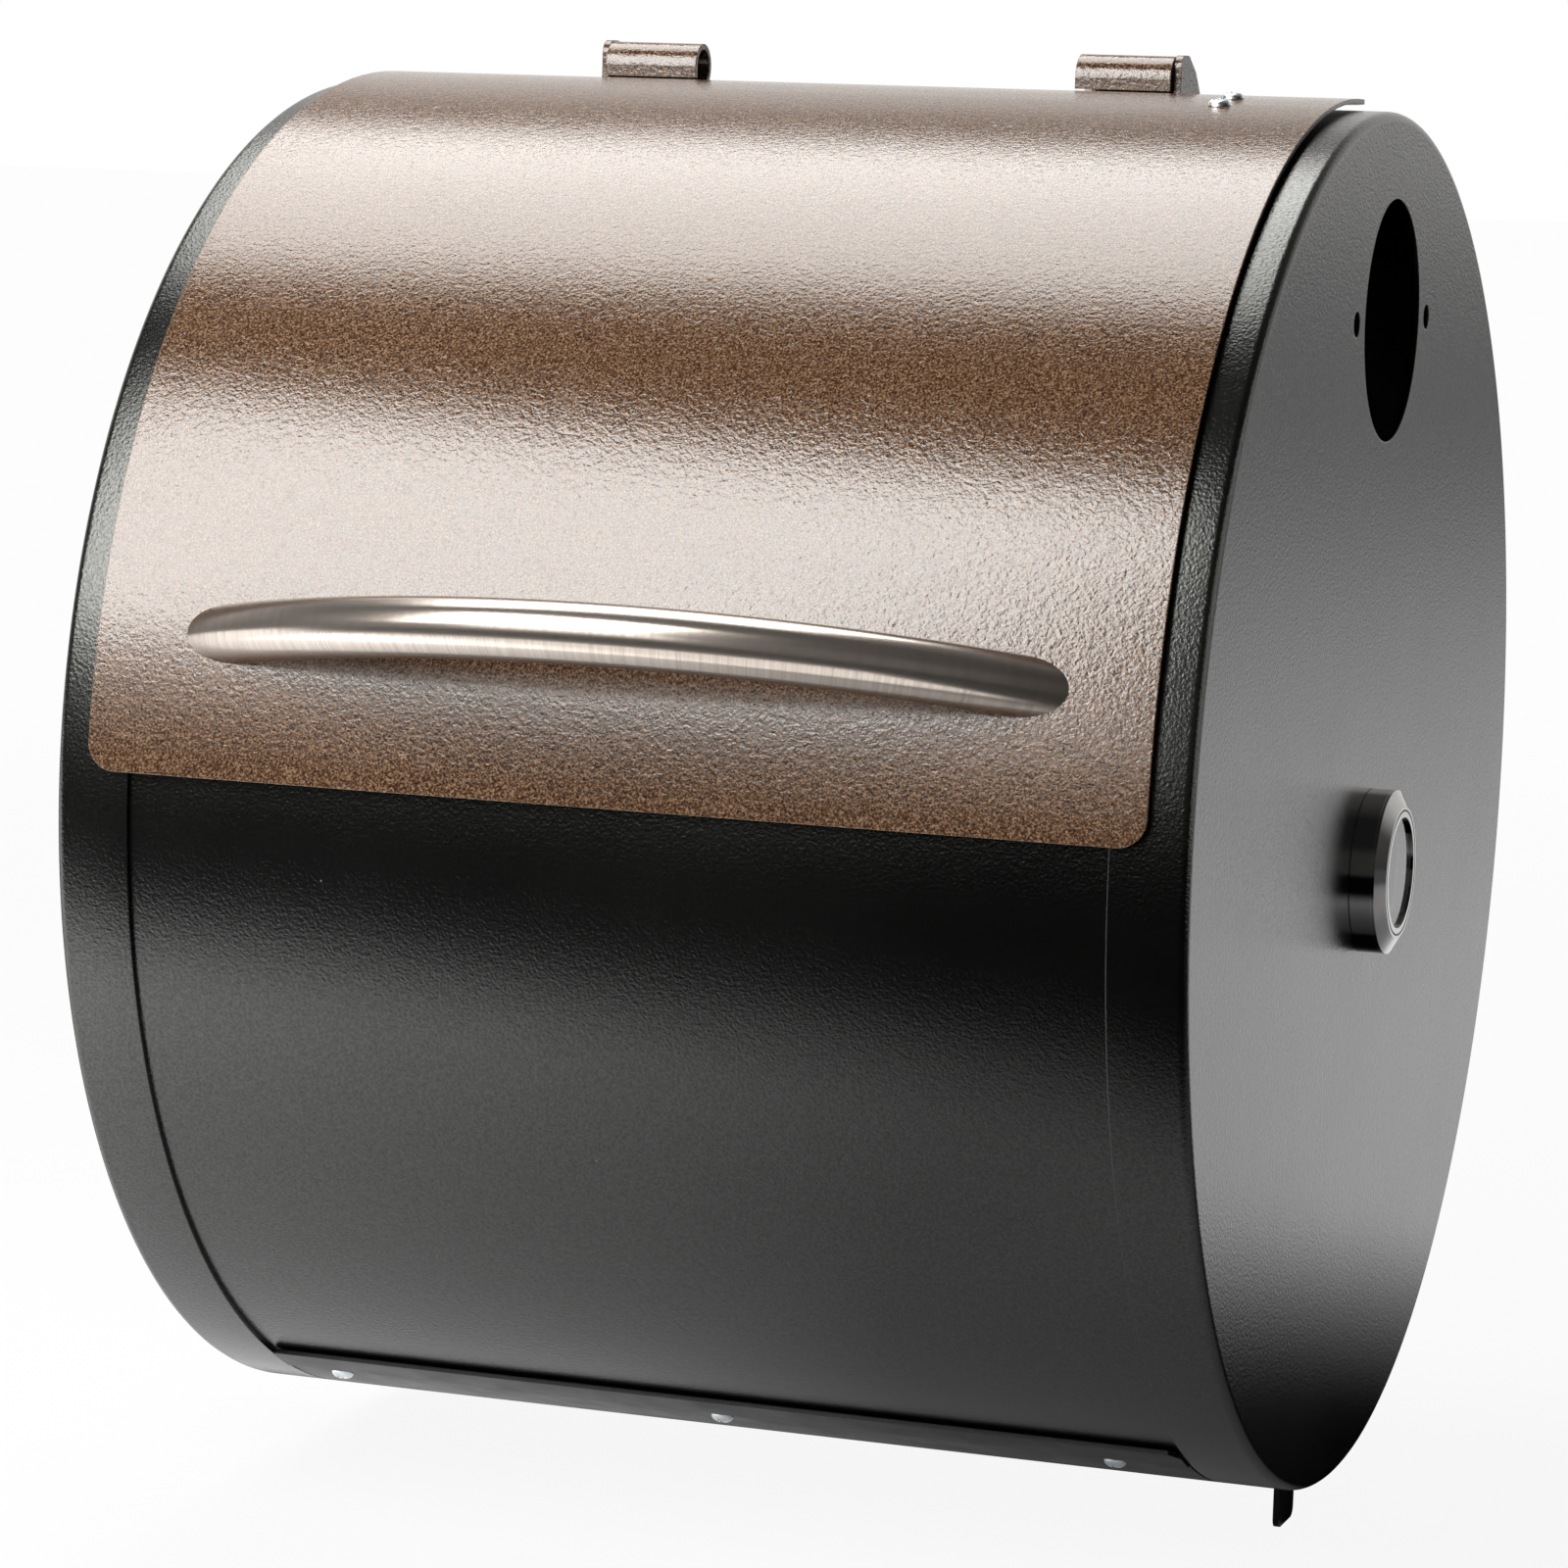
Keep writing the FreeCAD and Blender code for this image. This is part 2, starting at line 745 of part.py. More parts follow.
def lid_handle():
    """Bowed tube, cut flush to the lid at both ends."""
    tube = handle_ring("handle_tube", D.handle_radius)
    bore = handle_ring("handle_bore", D.handle_radius - D.handle_wall)
    node("lid_handle", cut("lid_handle", tube, [bore, lid_core("handle_foot_cut", 0.05)]))


def handle_inserts():
    """Threaded plugs in the ends of the handle tube."""
    plug = handle_ring("insert_bar", D.handle_radius - D.handle_wall - 0.05)
    reach = cylinder(
        "insert_reach", D.lid_radius + 10.0, D.barrel_length, (-HALF_LENGTH, 0, 0), (1, 0, 0)
    )
    ends = common("insert_ends", plug, reach)
    outward = radial(D.handle_foot_angle)
    tools = [lid_core("insert_foot_cut", 0.05)]
    for point, side in HANDLE_SEATS:
        tools.append(cylinder("insert_thread", D.handle_screw_radius + 0.1, 9.5, point, outward))
    node("handle_inserts", cut("handle_inserts", ends, tools))


def handle_screws():
    """Screws from inside the lid into the handle's inserts."""
    inward = tuple(-part for part in radial(D.handle_foot_angle))
    seats = [(point, inward) for point, side in HANDLE_SEATS]
    factor = float(D.handle_screw_radius / D.screw_radius)
    screw_set("handle_screws", seats, 9.0, factor)


def lid_bracket():
    """Bracket inside the lid, held by the two screws on top."""
    plate = rolled_sheet("bracket_plate", LID_INNER - 0.1, LID_INNER - 1.6, 127.0, 143.0, 77.0, 87.0)
    leg = box("bracket_leg", (127.0, -13.7, 215.0), (143.0, -12.2, 229.8))
    tools = seat_holes("bracket_screw_hole", LID_BRACKET_SEATS, 8.0)
    node("lid_bracket", cut("lid_bracket", fuse("bracket_solid", [plate, leg]), tools))


# ---------------------------------------------------------------- thermometer

DIAL_CORNER = (0, D.dial_across, D.dial_up)
CASE_BACK = HALF_LENGTH + 0.1
CASE_FRONT = CASE_BACK + D.case_depth
BEZEL_FRONT = CASE_FRONT + D.bezel_depth


def thermometer_case():
    """Cup against the right cap."""
    wall = 1.5
    points = [
        (CASE_BACK, D.stem_boss_radius + 0.05),
        (CASE_BACK, D.case_radius),
        (CASE_FRONT, D.case_radius),
        (CASE_FRONT, D.case_radius - wall),
        (CASE_BACK + 1.2, D.case_radius - wall),
        (CASE_BACK + 1.2, D.stem_boss_radius + 0.05),
    ]
    node("thermometer_case", turned("thermometer_case", points), DIAL_CORNER)


def thermometer_bezel():
    """Ring with a sloped front that holds the glass."""
    lip = BEZEL_FRONT - 1.2
    points = [
        (CASE_FRONT + 0.02, D.case_radius),
        (CASE_FRONT + 0.9, D.case_radius),
        (BEZEL_FRONT, D.bezel_front_radius),
        (BEZEL_FRONT, D.window_radius),
        (lip, D.window_radius),
        (lip, D.case_radius - 6.0),
        (CASE_FRONT + 0.02, D.case_radius - 4.5),
    ]
    node("thermometer_bezel", turned("thermometer_bezel", points), DIAL_CORNER)


def thermometer_glass():
    """Window behind the bezel's lip."""
    front = BEZEL_FRONT - 1.22
    points = [
        (front - 1.4, 0),
        (front, 0),
        (front, D.window_radius + 2.0),
        (front - 1.4, D.window_radius + 2.0),
    ]
    node("thermometer_glass", turned("thermometer_glass", points), DIAL_CORNER)


def thermometer_dial():
    """Printed disc with a hole for the needle's shaft."""
    back = CASE_BACK + 4.6
    points = [
        (back, D.needle_shaft_radius + 0.4),
        (back, D.case_radius - 1.7),
        (back + 0.6, D.case_radius - 1.7),
        (back + 0.6, D.needle_shaft_radius + 0.4),
    ]
    node("thermometer_dial", turned("thermometer_dial", points), DIAL_CORNER)


def thermometer_stem():
    """Threaded boss and sensing stem, with a bore for the needle's shaft."""
    head = CASE_BACK + 4.2
    shoulder = HALF_LENGTH - 14.0
    tip = HALF_LENGTH - D.stem_reach
    bore = D.needle_shaft_radius + D.running_gap
    points = [
        (tip, 0),
        (tip, D.stem_radius),
        (shoulder, D.stem_radius),
        (shoulder, D.stem_boss_radius),
        (head, D.stem_boss_radius),
        (head, bore),
        (head - 14.0, bore),
        (head - 14.0, 0),
    ]
    node("thermometer_stem", turned("thermometer_stem", points), DIAL_CORNER)


def thermometer_nut():
    """Hexagon nut inside the right cap."""
    depth = 5.0
    face = CAP_INNER_FACE - 0.1
    blank = doc.addObject("Part::Prism", "nut_blank")
    blank.Polygon = 6
    bind(blank, "Circumradius", D.dial_nut_radius)
    blank.Height = depth
    turn = FreeCAD.Rotation(Vector(0, 0, 1), Vector(1, 0, 0))
    place(blank, (face - depth, D.dial_across, D.dial_up), turn)
    start = (face - 2 * depth, D.dial_across, D.dial_up)
    bore = cylinder("nut_bore", D.stem_boss_radius + 0.05, 3 * depth, start, (1, 0, 0))
    node("thermometer_nut", cut("thermometer_nut", blank, [bore]))


def thermometer_pointer():
    """Needle with its hub and shaft, turned by the stem's coil."""
    back = CASE_BACK + 5.4
    shaft_start = CASE_BACK - 8.0
    hub_points = [
        (shaft_start, 0),
        (shaft_start, D.needle_shaft_radius),
        (back, D.needle_shaft_radius),
        (back, 2.2),
        (back + 1.0, 2.2),
        (back + 1.0, 0),
    ]
    hub = turned("needle_hub", hub_points)
    blade = extruded("needle_blade", [(-1.1, -4.5), (1.1, -4.5), (0.3, 15.5), (-0.3, 15.5)], 0.5)
    tilt = FreeCAD.Rotation(Vector(1, 0, 0), 125)
    place(blade, (back + 0.2, 0, 0), tilt)
    node("thermometer_pointer", fuse("thermometer_pointer", [hub, blade]), DIAL_CORNER)


# ---------------------------------------------------------------- cooking chamber


def grate_ledge(label, side):
    """Angle that carries one edge of the grate."""
    wall = 1.5
    outer = 223.7
    under = D.grate_up - 0.05
    points = [
        (side * outer, under - 16.0),
        (side * outer, under),
        (side * 207.0, under),
        (side * 207.0, under - wall),
        (side * (outer - wall), under - wall),
        (side * (outer - wall), under - 16.0),
    ]
    ledge = extruded(label, points, 320.0)
    node(label, ledge, (-160.0, 0, 0))


def cooking_grate():
    """Wire grate: a frame, two crossbars and rods from front to back."""
    frame = D.grate_frame_radius
    middle_up = D.grate_up + frame
    wide = D.grate_half_width
    deep = D.grate_half_depth
    bars = []
    for side in (-1, 1):
        bars.append(cylinder("frame_side", frame, deep * 2, (wide * side, -deep, middle_up), (0, 1, 0)))
        bars.append(cylinder("frame_end", frame, wide * 2, (-wide, deep * side, middle_up), (1, 0, 0)))
        start = (-wide, 85.0 * side, middle_up - 1.0)
        bars.append(cylinder("crossbar", D.grate_rod_radius, wide * 2, start, (1, 0, 0)))
    rods_each_side = 10
    for number in range(-rods_each_side, rods_each_side + 1):
        start = (D.grate_rod_pitch * number, -deep, middle_up + 1.0)
        bars.append(cylinder("rod", D.grate_rod_radius, deep * 2, start, (0, 1, 0)))
    node("cooking_grate", fuse("cooking_grate", bars))


def drip_tray():
    """Sloped tray with upturned sides, open at its low right end."""
    deep = D.tray_half_depth
    wall = D.gauge
    outer = box("tray_outer", (0, -deep, 0), (D.tray_length, deep, D.tray_wall_height))
    low = (wall, wall - deep, wall)
    high = (D.tray_length + OVERCUT, deep - wall, D.tray_wall_height + OVERCUT)
    tray = cut("drip_tray", outer, [box("tray_hollow", low, high)])
    tray.Placement = FreeCAD.Placement(
        Vector(0, 0, 0), FreeCAD.Rotation(Vector(0, 1, 0), float(D.tray_slope))
    )
    node("drip_tray", tray, (D.tray_left_end, 0, D.tray_left_up))


def tray_crossbars():
    """Two round bars across the barrel, just touching the tray's underside."""
    slope = math.radians(float(D.tray_slope))
    bars = []
    for place_x in (-150.0, 135.0):
        run = place_x - float(D.tray_left_end)
        under = float(D.tray_left_up) - run * math.tan(slope)
        middle_up = under - (float(D.crossbar_radius) + 0.05) / math.cos(slope)
        reach = math.sqrt(float(SHELL_INNER) ** 2 - (middle_up - float(D.crossbar_radius)) ** 2) - 0.1
        start = (place_x, -reach, middle_up)
        bars.append(cylinder("tray_bar", D.crossbar_radius, 2 * reach, start, (0, 1, 0)))
    node("tray_crossbars", fuse("tray_crossbars", bars))


# ---------------------------------------------------------------- burner


def heat_baffle():
    """Folded plate over the fire pot, standing on the barrel's floor."""
    thick = 2.0
    outer = float(D.baffle_half_depth)
    foot = -math.sqrt((float(SHELL_INNER) - 0.3) ** 2 - outer**2)
    top = float(D.baffle_top_up)
    points = [
        (-outer, foot),
        (-outer, top),
        (outer, top),
        (outer, foot),
        (outer - thick, foot),
        (outer - thick, top - thick),
        (thick - outer, top - thick),
        (thick - outer, foot),
    ]
    plate = extruded("heat_baffle", points, D.baffle_right_end - D.baffle_left_end)
    node("heat_baffle", plate, (D.baffle_left_end, 0, 0))


DUCT_LEFT = -CAP_INNER_FACE + 0.1


def burner_duct():
    """Box that carries air from the left cap to the fire pot, with a flange on the cap."""
    deep = D.duct_half_depth
    wall = D.gauge
    right = D.duct_right_end
    outer = box("duct_outer", (DUCT_LEFT, -deep, D.duct_bottom_up), (right, deep, D.duct_top_up))
    low = (DUCT_LEFT, -58.0, D.duct_bottom_up - 7.0)
    high = (DUCT_LEFT + wall, 58.0, D.duct_top_up + 10.0)
    flange = box("duct_flange", low, high)
    inside = box(
        "duct_inside",
        (DUCT_LEFT - OVERCUT, wall - deep, D.duct_bottom_up + wall),
        (right - wall, deep - wall, D.duct_top_up - wall),
    )
    pot_start = (D.pot_across, 0, D.duct_top_up - 3 * wall)
    pot_hole = cylinder("duct_pot_hole", D.pot_radius + 0.4, 20.0, pot_start)
    tools = [inside, pot_hole] + seat_holes("duct_hole", BURNER_SEATS, 12.0)
    node("burner_duct", cut("burner_duct", fuse("duct_solid", [outer, flange]), tools))


def fire_pot():
    """Cup that hangs in the duct, with air holes and openings for auger and igniter."""
    radius = D.pot_radius
    wall = D.pot_wall
    flange_under = D.duct_top_up + 0.05
    flange_top = flange_under + wall
    points = [
        (0, D.pot_bottom_up),
        (radius, D.pot_bottom_up),
        (radius, flange_under),
        (D.pot_flange_radius, flange_under),
        (D.pot_flange_radius, flange_top),
        (radius - wall, flange_top),
        (radius - wall, D.pot_bottom_up + wall),
        (0, D.pot_bottom_up + wall),
    ]
    cup = turned("pot_cup", points, "V_Axis")
    tools = [
        cylinder(
            "pot_auger_hole", D.auger_tube_radius + 0.2, 42.0, (-42.0, 0, D.auger_up), (1, 0, 0)
        ),
        cylinder("pot_igniter_hole", D.igniter_radius + 0.3, 42.0, (-42.0, 0, D.igniter_up), (1, 0, 0)),
    ]
    hole_count = 10
    for number in range(hole_count):
        turn = math.radians(36.0 * number + 18.0)
        outward = (math.cos(turn), math.sin(turn), 0.0)
        tools.append(cylinder("pot_air_hole", 2.5, 45.0, (0, 0, D.pot_bottom_up + 14.0), outward))
    node("fire_pot", cut("fire_pot", cup, tools), (D.pot_across, 0, 0))


AUGER_TUBE_LEFT = -HALF_LENGTH - 21.0


def auger_tube():
    """Tube from the hopper side to the fire pot."""
    right = Size(-60.0)
    start = (AUGER_TUBE_LEFT, 0, D.auger_up)
    outer = cylinder("tube_outer", D.auger_tube_radius, right - AUGER_TUBE_LEFT, start, (1, 0, 0))
    bore_start = (AUGER_TUBE_LEFT - OVERCUT, 0, D.auger_up)
    bore_radius = D.auger_tube_radius - D.auger_tube_wall
    bore = cylinder("tube_bore", bore_radius, 200.0, bore_start, (1, 0, 0))
    node("auger_tube", cut("auger_tube", outer, [bore]))


def auger_tube_bracket():
    """Upright plate in the duct that holds the auger tube and the igniter."""
    deep = D.duct_half_depth - D.gauge - 0.1
    plate = box("bracket_blank", (-176.0, -deep, -195.0), (-174.0, deep, -126.0))
    tools = [
        cylinder("bracket_tube_hole", D.auger_tube_radius + 0.1, 20.0, (-185.0, 0, D.auger_up), (1, 0, 0)),
        cylinder("bracket_rod_hole", D.igniter_radius + 0.1, 20.0, (-185.0, 0, D.igniter_up), (1, 0, 0)),
    ]
    node("auger_tube_bracket", cut("auger_tube_bracket", plate, tools))


def auger_bushing():
    """Bushing in the tube's left end that carries the auger's shaft."""
    seat = D.auger_tube_radius - D.auger_tube_wall - 0.05
    bore = D.auger_shaft_radius + D.running_gap
    left = AUGER_TUBE_LEFT
    points = [
        (left - 2.5, bore),
        (left - 2.5, D.auger_tube_radius),
        (left - 0.05, D.auger_tube_radius),
        (left - 0.05, seat),
        (left + 10.0, seat),
        (left + 10.0, bore),
    ]
    node("auger_bushing", turned("auger_bushing", points), (0, 0, D.auger_up))


def auger():
    """Screw that feeds pellets to the fire pot, on a shaft that runs out to the left."""
    body = doc.addObject("PartDesign::Body", "auger")
    start = AUGER_TUBE_LEFT + 12.0
    end = Size(-68.0)
    shaft = body_sketch(
        body,
        "shaft_outline",
        "XZ_Plane",
        [
            (D.auger_shaft_end, 0),
            (D.auger_shaft_end, D.auger_stub_radius),
            (D.auger_shaft_end + D.auger_stub_length, D.auger_stub_radius),
            (D.auger_shaft_end + D.auger_stub_length, D.auger_shaft_radius),
            (end, D.auger_shaft_radius),
            (end, 0),
        ],
    )
    turn = body.newObject("PartDesign::Revolution", "shaft_turn")
    turn.Profile = shaft
    turn.ReferenceAxis = (shaft, ["H_Axis"])
    turn.Angle = 360
    body.Tip = turn
    blade = body_sketch(
        body,
        "blade_outline",
        "XZ_Plane",
        [
            (start, D.auger_shaft_radius - 1.0),
            (start, D.auger_flight_radius),
            (start + D.auger_blade, D.auger_flight_radius),
            (start + D.auger_blade, D.auger_shaft_radius - 1.0),
        ],
    )
    helix = body.newObject("PartDesign::AdditiveHelix", "blade_helix")
    helix.Profile = blade
    helix.ReferenceAxis = (blade, ["H_Axis"])
    helix.Mode = "pitch-height-angle"
    bind(helix, "Pitch", D.auger_pitch)
    bind(helix, "Height", end - start - D.auger_blade * 2)
    body.Tip = helix
    node("auger", body, (0, 0, D.auger_up))


def igniter_rod():
    """Hot rod that lights the pellets, with its tip inside the pot."""
    rod = cylinder("igniter_rod", D.igniter_radius, 140.0, (0, 0, 0), (1, 0, 0))
    node("igniter_rod", rod, (-192.0, 0, D.igniter_up))


# ---------------------------------------------------------------- temperature probe


def temperature_probe():
    """Sensing rod through the left cap."""
    rod = cylinder("temperature_probe", D.probe_radius, 75.0, (0, 0, 0), (1, 0, 0))
    node("temperature_probe", rod, (-200.0, 0, D.probe_up))


def probe_grommet():
    """Grooved ring that holds the probe in the left cap."""
    bore = D.probe_radius + 0.05
    neck = D.probe_radius + 2.5
    outer = D.probe_radius + 5.0
    outside = -HALF_LENGTH - 0.05
    inside = -CAP_INNER_FACE + 0.05
    points = [
        (outside - 2.0, bore),
        (outside - 2.0, outer),
        (outside, outer),
        (outside, neck),
        (inside, neck),
        (inside, outer),
        (inside + 2.0, outer),
        (inside + 2.0, bore),
    ]
    node("probe_grommet", turned("probe_grommet", points), (0, 0, D.probe_up))


# ---------------------------------------------------------------- build and write


def build():
    front_panel()
    rear_shell()
    left_end_cap()
    right_end_cap()
    seam_strip()
    screw_set("seam_screws", SEAM_SEATS, 3.8)
    grease_spout()
    hinge_brackets()
    screw_set("hinge_bracket_screws", HINGE_SEATS, 6.0)
    hinge_pins()
    hinge_knuckles()
    lid_skin()
    lid_handle()
    handle_inserts()
    handle_screws()
    lid_bracket()
    screw_set("lid_bracket_screws", LID_BRACKET_SEATS, 6.0)
    thermometer_case()
    thermometer_bezel()
    thermometer_glass()
    thermometer_dial()
    thermometer_stem()
    thermometer_nut()
    thermometer_pointer()
    grate_ledge("front_grate_ledge", -1)
    grate_ledge("rear_grate_ledge", 1)
    cooking_grate()
    drip_tray()
    tray_crossbars()
    heat_baffle()
    burner_duct()
    screw_set("burner_screws", BURNER_SEATS, 8.0)
    fire_pot()
    auger_tube()
    auger_tube_bracket()
    auger_bushing()
    auger()
    igniter_rod()
    temperature_probe()
    probe_grommet()


def check():
    """Stop if any object failed or any sub-part is empty or invalid."""
    for item in doc.Objects:
        if "Invalid" in item.State or "Error" in item.State:
            raise RuntimeError(f"{item.Label} is {item.State}")
    for item in nodes:
        if item.Shape.isNull() or not item.Shape.isValid() or not item.Shape.Solids:
            raise RuntimeError(f"{item.Label} has no valid solid")


def write():
    os.makedirs("parts", exist_ok=True)
    for item in nodes:
        item.Shape.exportStep(f"parts/{item.Label}.step")
        bounds = item.Shape.BoundBox
        print(
            f"{item.Label:24s} solids {len(item.Shape.Solids):2d}"
            f"  volume {item.Shape.Volume / 1000:9.2f} cm3"
            f"  x {bounds.XMin:8.2f} {bounds.XMax:8.2f}"
            f"  y {bounds.YMin:8.2f} {bounds.YMax:8.2f}"
            f"  z {bounds.ZMin:8.2f} {bounds.ZMax:8.2f}"
        )


build()
doc.recompute()
check()
write()
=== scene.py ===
"""Looks for the pellet grill's barrel unit: materials, fine pieces, studio and camera."""

import math

import bmesh
import bpy
from mathutils import Matrix, Vector


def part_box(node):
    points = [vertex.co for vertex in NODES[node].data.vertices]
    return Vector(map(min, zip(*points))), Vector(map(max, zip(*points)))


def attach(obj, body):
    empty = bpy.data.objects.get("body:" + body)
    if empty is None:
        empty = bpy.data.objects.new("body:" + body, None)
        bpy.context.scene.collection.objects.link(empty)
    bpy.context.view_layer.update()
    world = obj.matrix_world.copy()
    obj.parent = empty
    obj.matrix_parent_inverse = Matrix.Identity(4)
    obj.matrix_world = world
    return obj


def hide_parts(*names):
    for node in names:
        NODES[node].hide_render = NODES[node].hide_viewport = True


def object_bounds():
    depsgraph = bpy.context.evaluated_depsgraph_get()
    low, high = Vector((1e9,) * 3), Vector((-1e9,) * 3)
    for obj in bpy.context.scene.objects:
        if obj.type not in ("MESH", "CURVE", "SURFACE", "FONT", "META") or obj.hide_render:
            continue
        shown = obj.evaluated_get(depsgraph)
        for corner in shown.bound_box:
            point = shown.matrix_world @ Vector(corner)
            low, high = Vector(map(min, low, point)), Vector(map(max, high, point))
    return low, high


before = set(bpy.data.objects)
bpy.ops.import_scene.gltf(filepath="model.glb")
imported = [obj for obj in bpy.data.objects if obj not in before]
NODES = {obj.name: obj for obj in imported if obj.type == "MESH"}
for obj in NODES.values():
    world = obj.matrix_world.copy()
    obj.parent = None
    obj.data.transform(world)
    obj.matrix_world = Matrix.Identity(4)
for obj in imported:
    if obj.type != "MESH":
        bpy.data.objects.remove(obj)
CAD_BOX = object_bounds()
MM = 0.001
RANGE_SOCKETS = ("From Min", "From Max", "To Min", "To Max")

# The row frame's origin is at the stand bolts; the barrel's axis is this far above it.
RIM_LOW, RIM_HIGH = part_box("left_end_cap")
AXIS_UP = (RIM_LOW.z + RIM_HIGH.z) / 2
LEFT_FACE = RIM_LOW.x


# ---------------------------------------------------------------- node helpers


class Shader:
    """A material with a Principled BSDF and short calls for adding nodes to it."""

    def __init__(self, name):
        self.material = bpy.data.materials.new(name)
        self.material.use_nodes = True
        self.tree = self.material.node_tree
        self.bsdf = self.tree.nodes["Principled BSDF"]
        self.output = self.tree.nodes["Material Output"]
        self.place = self.add("ShaderNodeTexCoord").outputs["Object"]

    def add(self, kind, settings=None, **inputs):
        node = self.tree.nodes.new(kind)
        for key, value in (settings or {}).items():
            setattr(node, key, value)
        for key, value in inputs.items():
            self.put(node.inputs[key.replace("_", " ")], value)
        return node

    def put(self, socket, value):
        if isinstance(value, bpy.types.NodeSocket):
            self.tree.links.new(value, socket)
        elif isinstance(value, (tuple, list)) and len(value) == 3 and socket.type == "RGBA":
            socket.default_value = (*value, 1.0)
        else:
            socket.default_value = value

    def set(self, **inputs):
        for key, value in inputs.items():
            self.put(self.bsdf.inputs[key.replace("_", " ")], value)
        return self

    def math(self, operation, first, second=None, third=None):
        node = self.add("ShaderNodeMath", {"operation": operation})
        for index, value in enumerate((first, second, third)):
            if value is not None:
                self.put(node.inputs[index], value)
        return node.outputs[0]

    def noise(self, scale, detail=2.0, roughness=0.5, distortion=0.0, vector=None):
        node = self.add(
            "ShaderNodeTexNoise",
            Scale=scale,
            Detail=detail,
            Roughness=roughness,
            Distortion=distortion,
            Vector=vector or self.place,
        )
        return node.outputs["Fac"]

    def cells(self, scale, feature="F1", output="Distance", vector=None):
        node = self.add(
            "ShaderNodeTexVoronoi", {"feature": feature}, Scale=scale, Vector=vector or self.place
        )
        return node.outputs[output]

    def stretch(self, scale, vector=None):
        return self.add(
            "ShaderNodeMapping", Vector=vector or self.place, Scale=scale
        ).outputs["Vector"]

    def ramp(self, value, *stops):
        node = self.add("ShaderNodeValToRGB", Fac=value)
        elements = node.color_ramp.elements
        while len(elements) < len(stops):
            elements.new(0.5)
        for element, (position, colour) in zip(elements, stops):
            element.position = position
            element.color = (*colour, 1.0) if len(colour) == 3 else colour
        return node.outputs["Color"]

    def span(self, value, low, high, start=0.0, end=1.0):
        node = self.add("ShaderNodeMapRange", Value=value)
        for key, number in zip(RANGE_SOCKETS, (low, high, start, end)):
            self.put(node.inputs[key], number)
        return node.outputs["Result"]

    def mix(self, factor, first, second):
        node = self.add("ShaderNodeMix", {"data_type": "RGBA"})
        self.put(node.inputs["Factor"], factor)
        self.put(node.inputs[6], first)
        self.put(node.inputs[7], second)
        return node.outputs[2]

    def bump(self, height, distance, strength=1.0, normal=None):
        node = self.add("ShaderNodeBump", Height=height, Distance=distance, Strength=strength)
        if normal is not None:
            self.put(node.inputs["Normal"], normal)
        return node.outputs["Normal"]

    def soft_edges(self, radius):
        """Normal rounded over the edges, kept so that painted_edge_highlight can compare with it."""
        self.rounded = self.add("ShaderNodeBevel", {"samples": 4}, Radius=radius).outputs["Normal"]
        return self.rounded

    def painted_edge_highlight(self):
        """White where the rounded normal leaves the true one, that is along sharp edges: the mask
        for the highlights painted along the edges.
        """
        true = self.add("ShaderNodeNewGeometry").outputs["Normal"]
        gap = self.add("ShaderNodeVectorMath", {"operation": "DISTANCE"})
        self.put(gap.inputs[0], self.rounded)
        self.put(gap.inputs[1], true)
        return self.span(gap.outputs["Value"], 0.25, 0.6)


# ---------------------------------------------------------------- materials


def bronze_hammertone():
    """Speckled hammered paint under a clear coat; the coat's wrinkles spread the light."""
    s = Shader("bronze_hammertone")
    rounded = s.soft_edges(0.0006)
    speck = s.noise(1450, 2.0, 0.6, 0.4)
    wrinkle = s.noise(620, 2.0, 0.55, 0.7, s.stretch((0.8, 1.0, 1.0)))
    cell = s.cells(760, "SMOOTH_F1")
    broad = s.noise(9, 3.0, 0.6)
    height = s.math("ADD", wrinkle, s.math("MULTIPLY", speck, 0.35))
    height = s.math("SUBTRACT", height, s.math("MULTIPLY", cell, 0.3))
    tone = s.ramp(
        speck,
        (0.36, (0.020, 0.0085, 0.004)),
        (0.47, (0.060, 0.028, 0.013)),
        (0.55, (0.125, 0.066, 0.036)),
        (0.64, (0.235, 0.15, 0.092)),
    )
    tone = s.mix(s.span(broad, 0.3, 0.7, 0.0, 0.18), tone, (0.095, 0.050, 0.029))
    # Painted highlight: the colour is lighter along sharp edges.
    tone = s.mix(s.math("MULTIPLY", s.painted_edge_highlight(), 0.18), tone, (0.34, 0.27, 0.21))
    cover = s.span(speck, 0.47, 0.64, 1.0, 0.80)
    # Painted shade: the coat is weaker along a fine cell net, which draws dark lines into the
    # highlights where the wrinkles' valleys would be.
    painted_valley_shade = s.span(s.cells(1000, "DISTANCE_TO_EDGE"), 0.01, 0.12, 0.72, 1.0)
    normal = s.bump(height, 0.00015, 0.9, rounded)
    s.set(
        Base_Color=tone,
        Roughness=0.55,
        Specular_IOR_Level=0.0,
        Coat_Weight=s.math("MULTIPLY", cover, painted_valley_shade),
        Coat_Roughness=0.10,
        Coat_IOR=1.72,
        Normal=s.bump(height, 0.00005, 0.9),
        Coat_Normal=normal,
    )
    return s.material


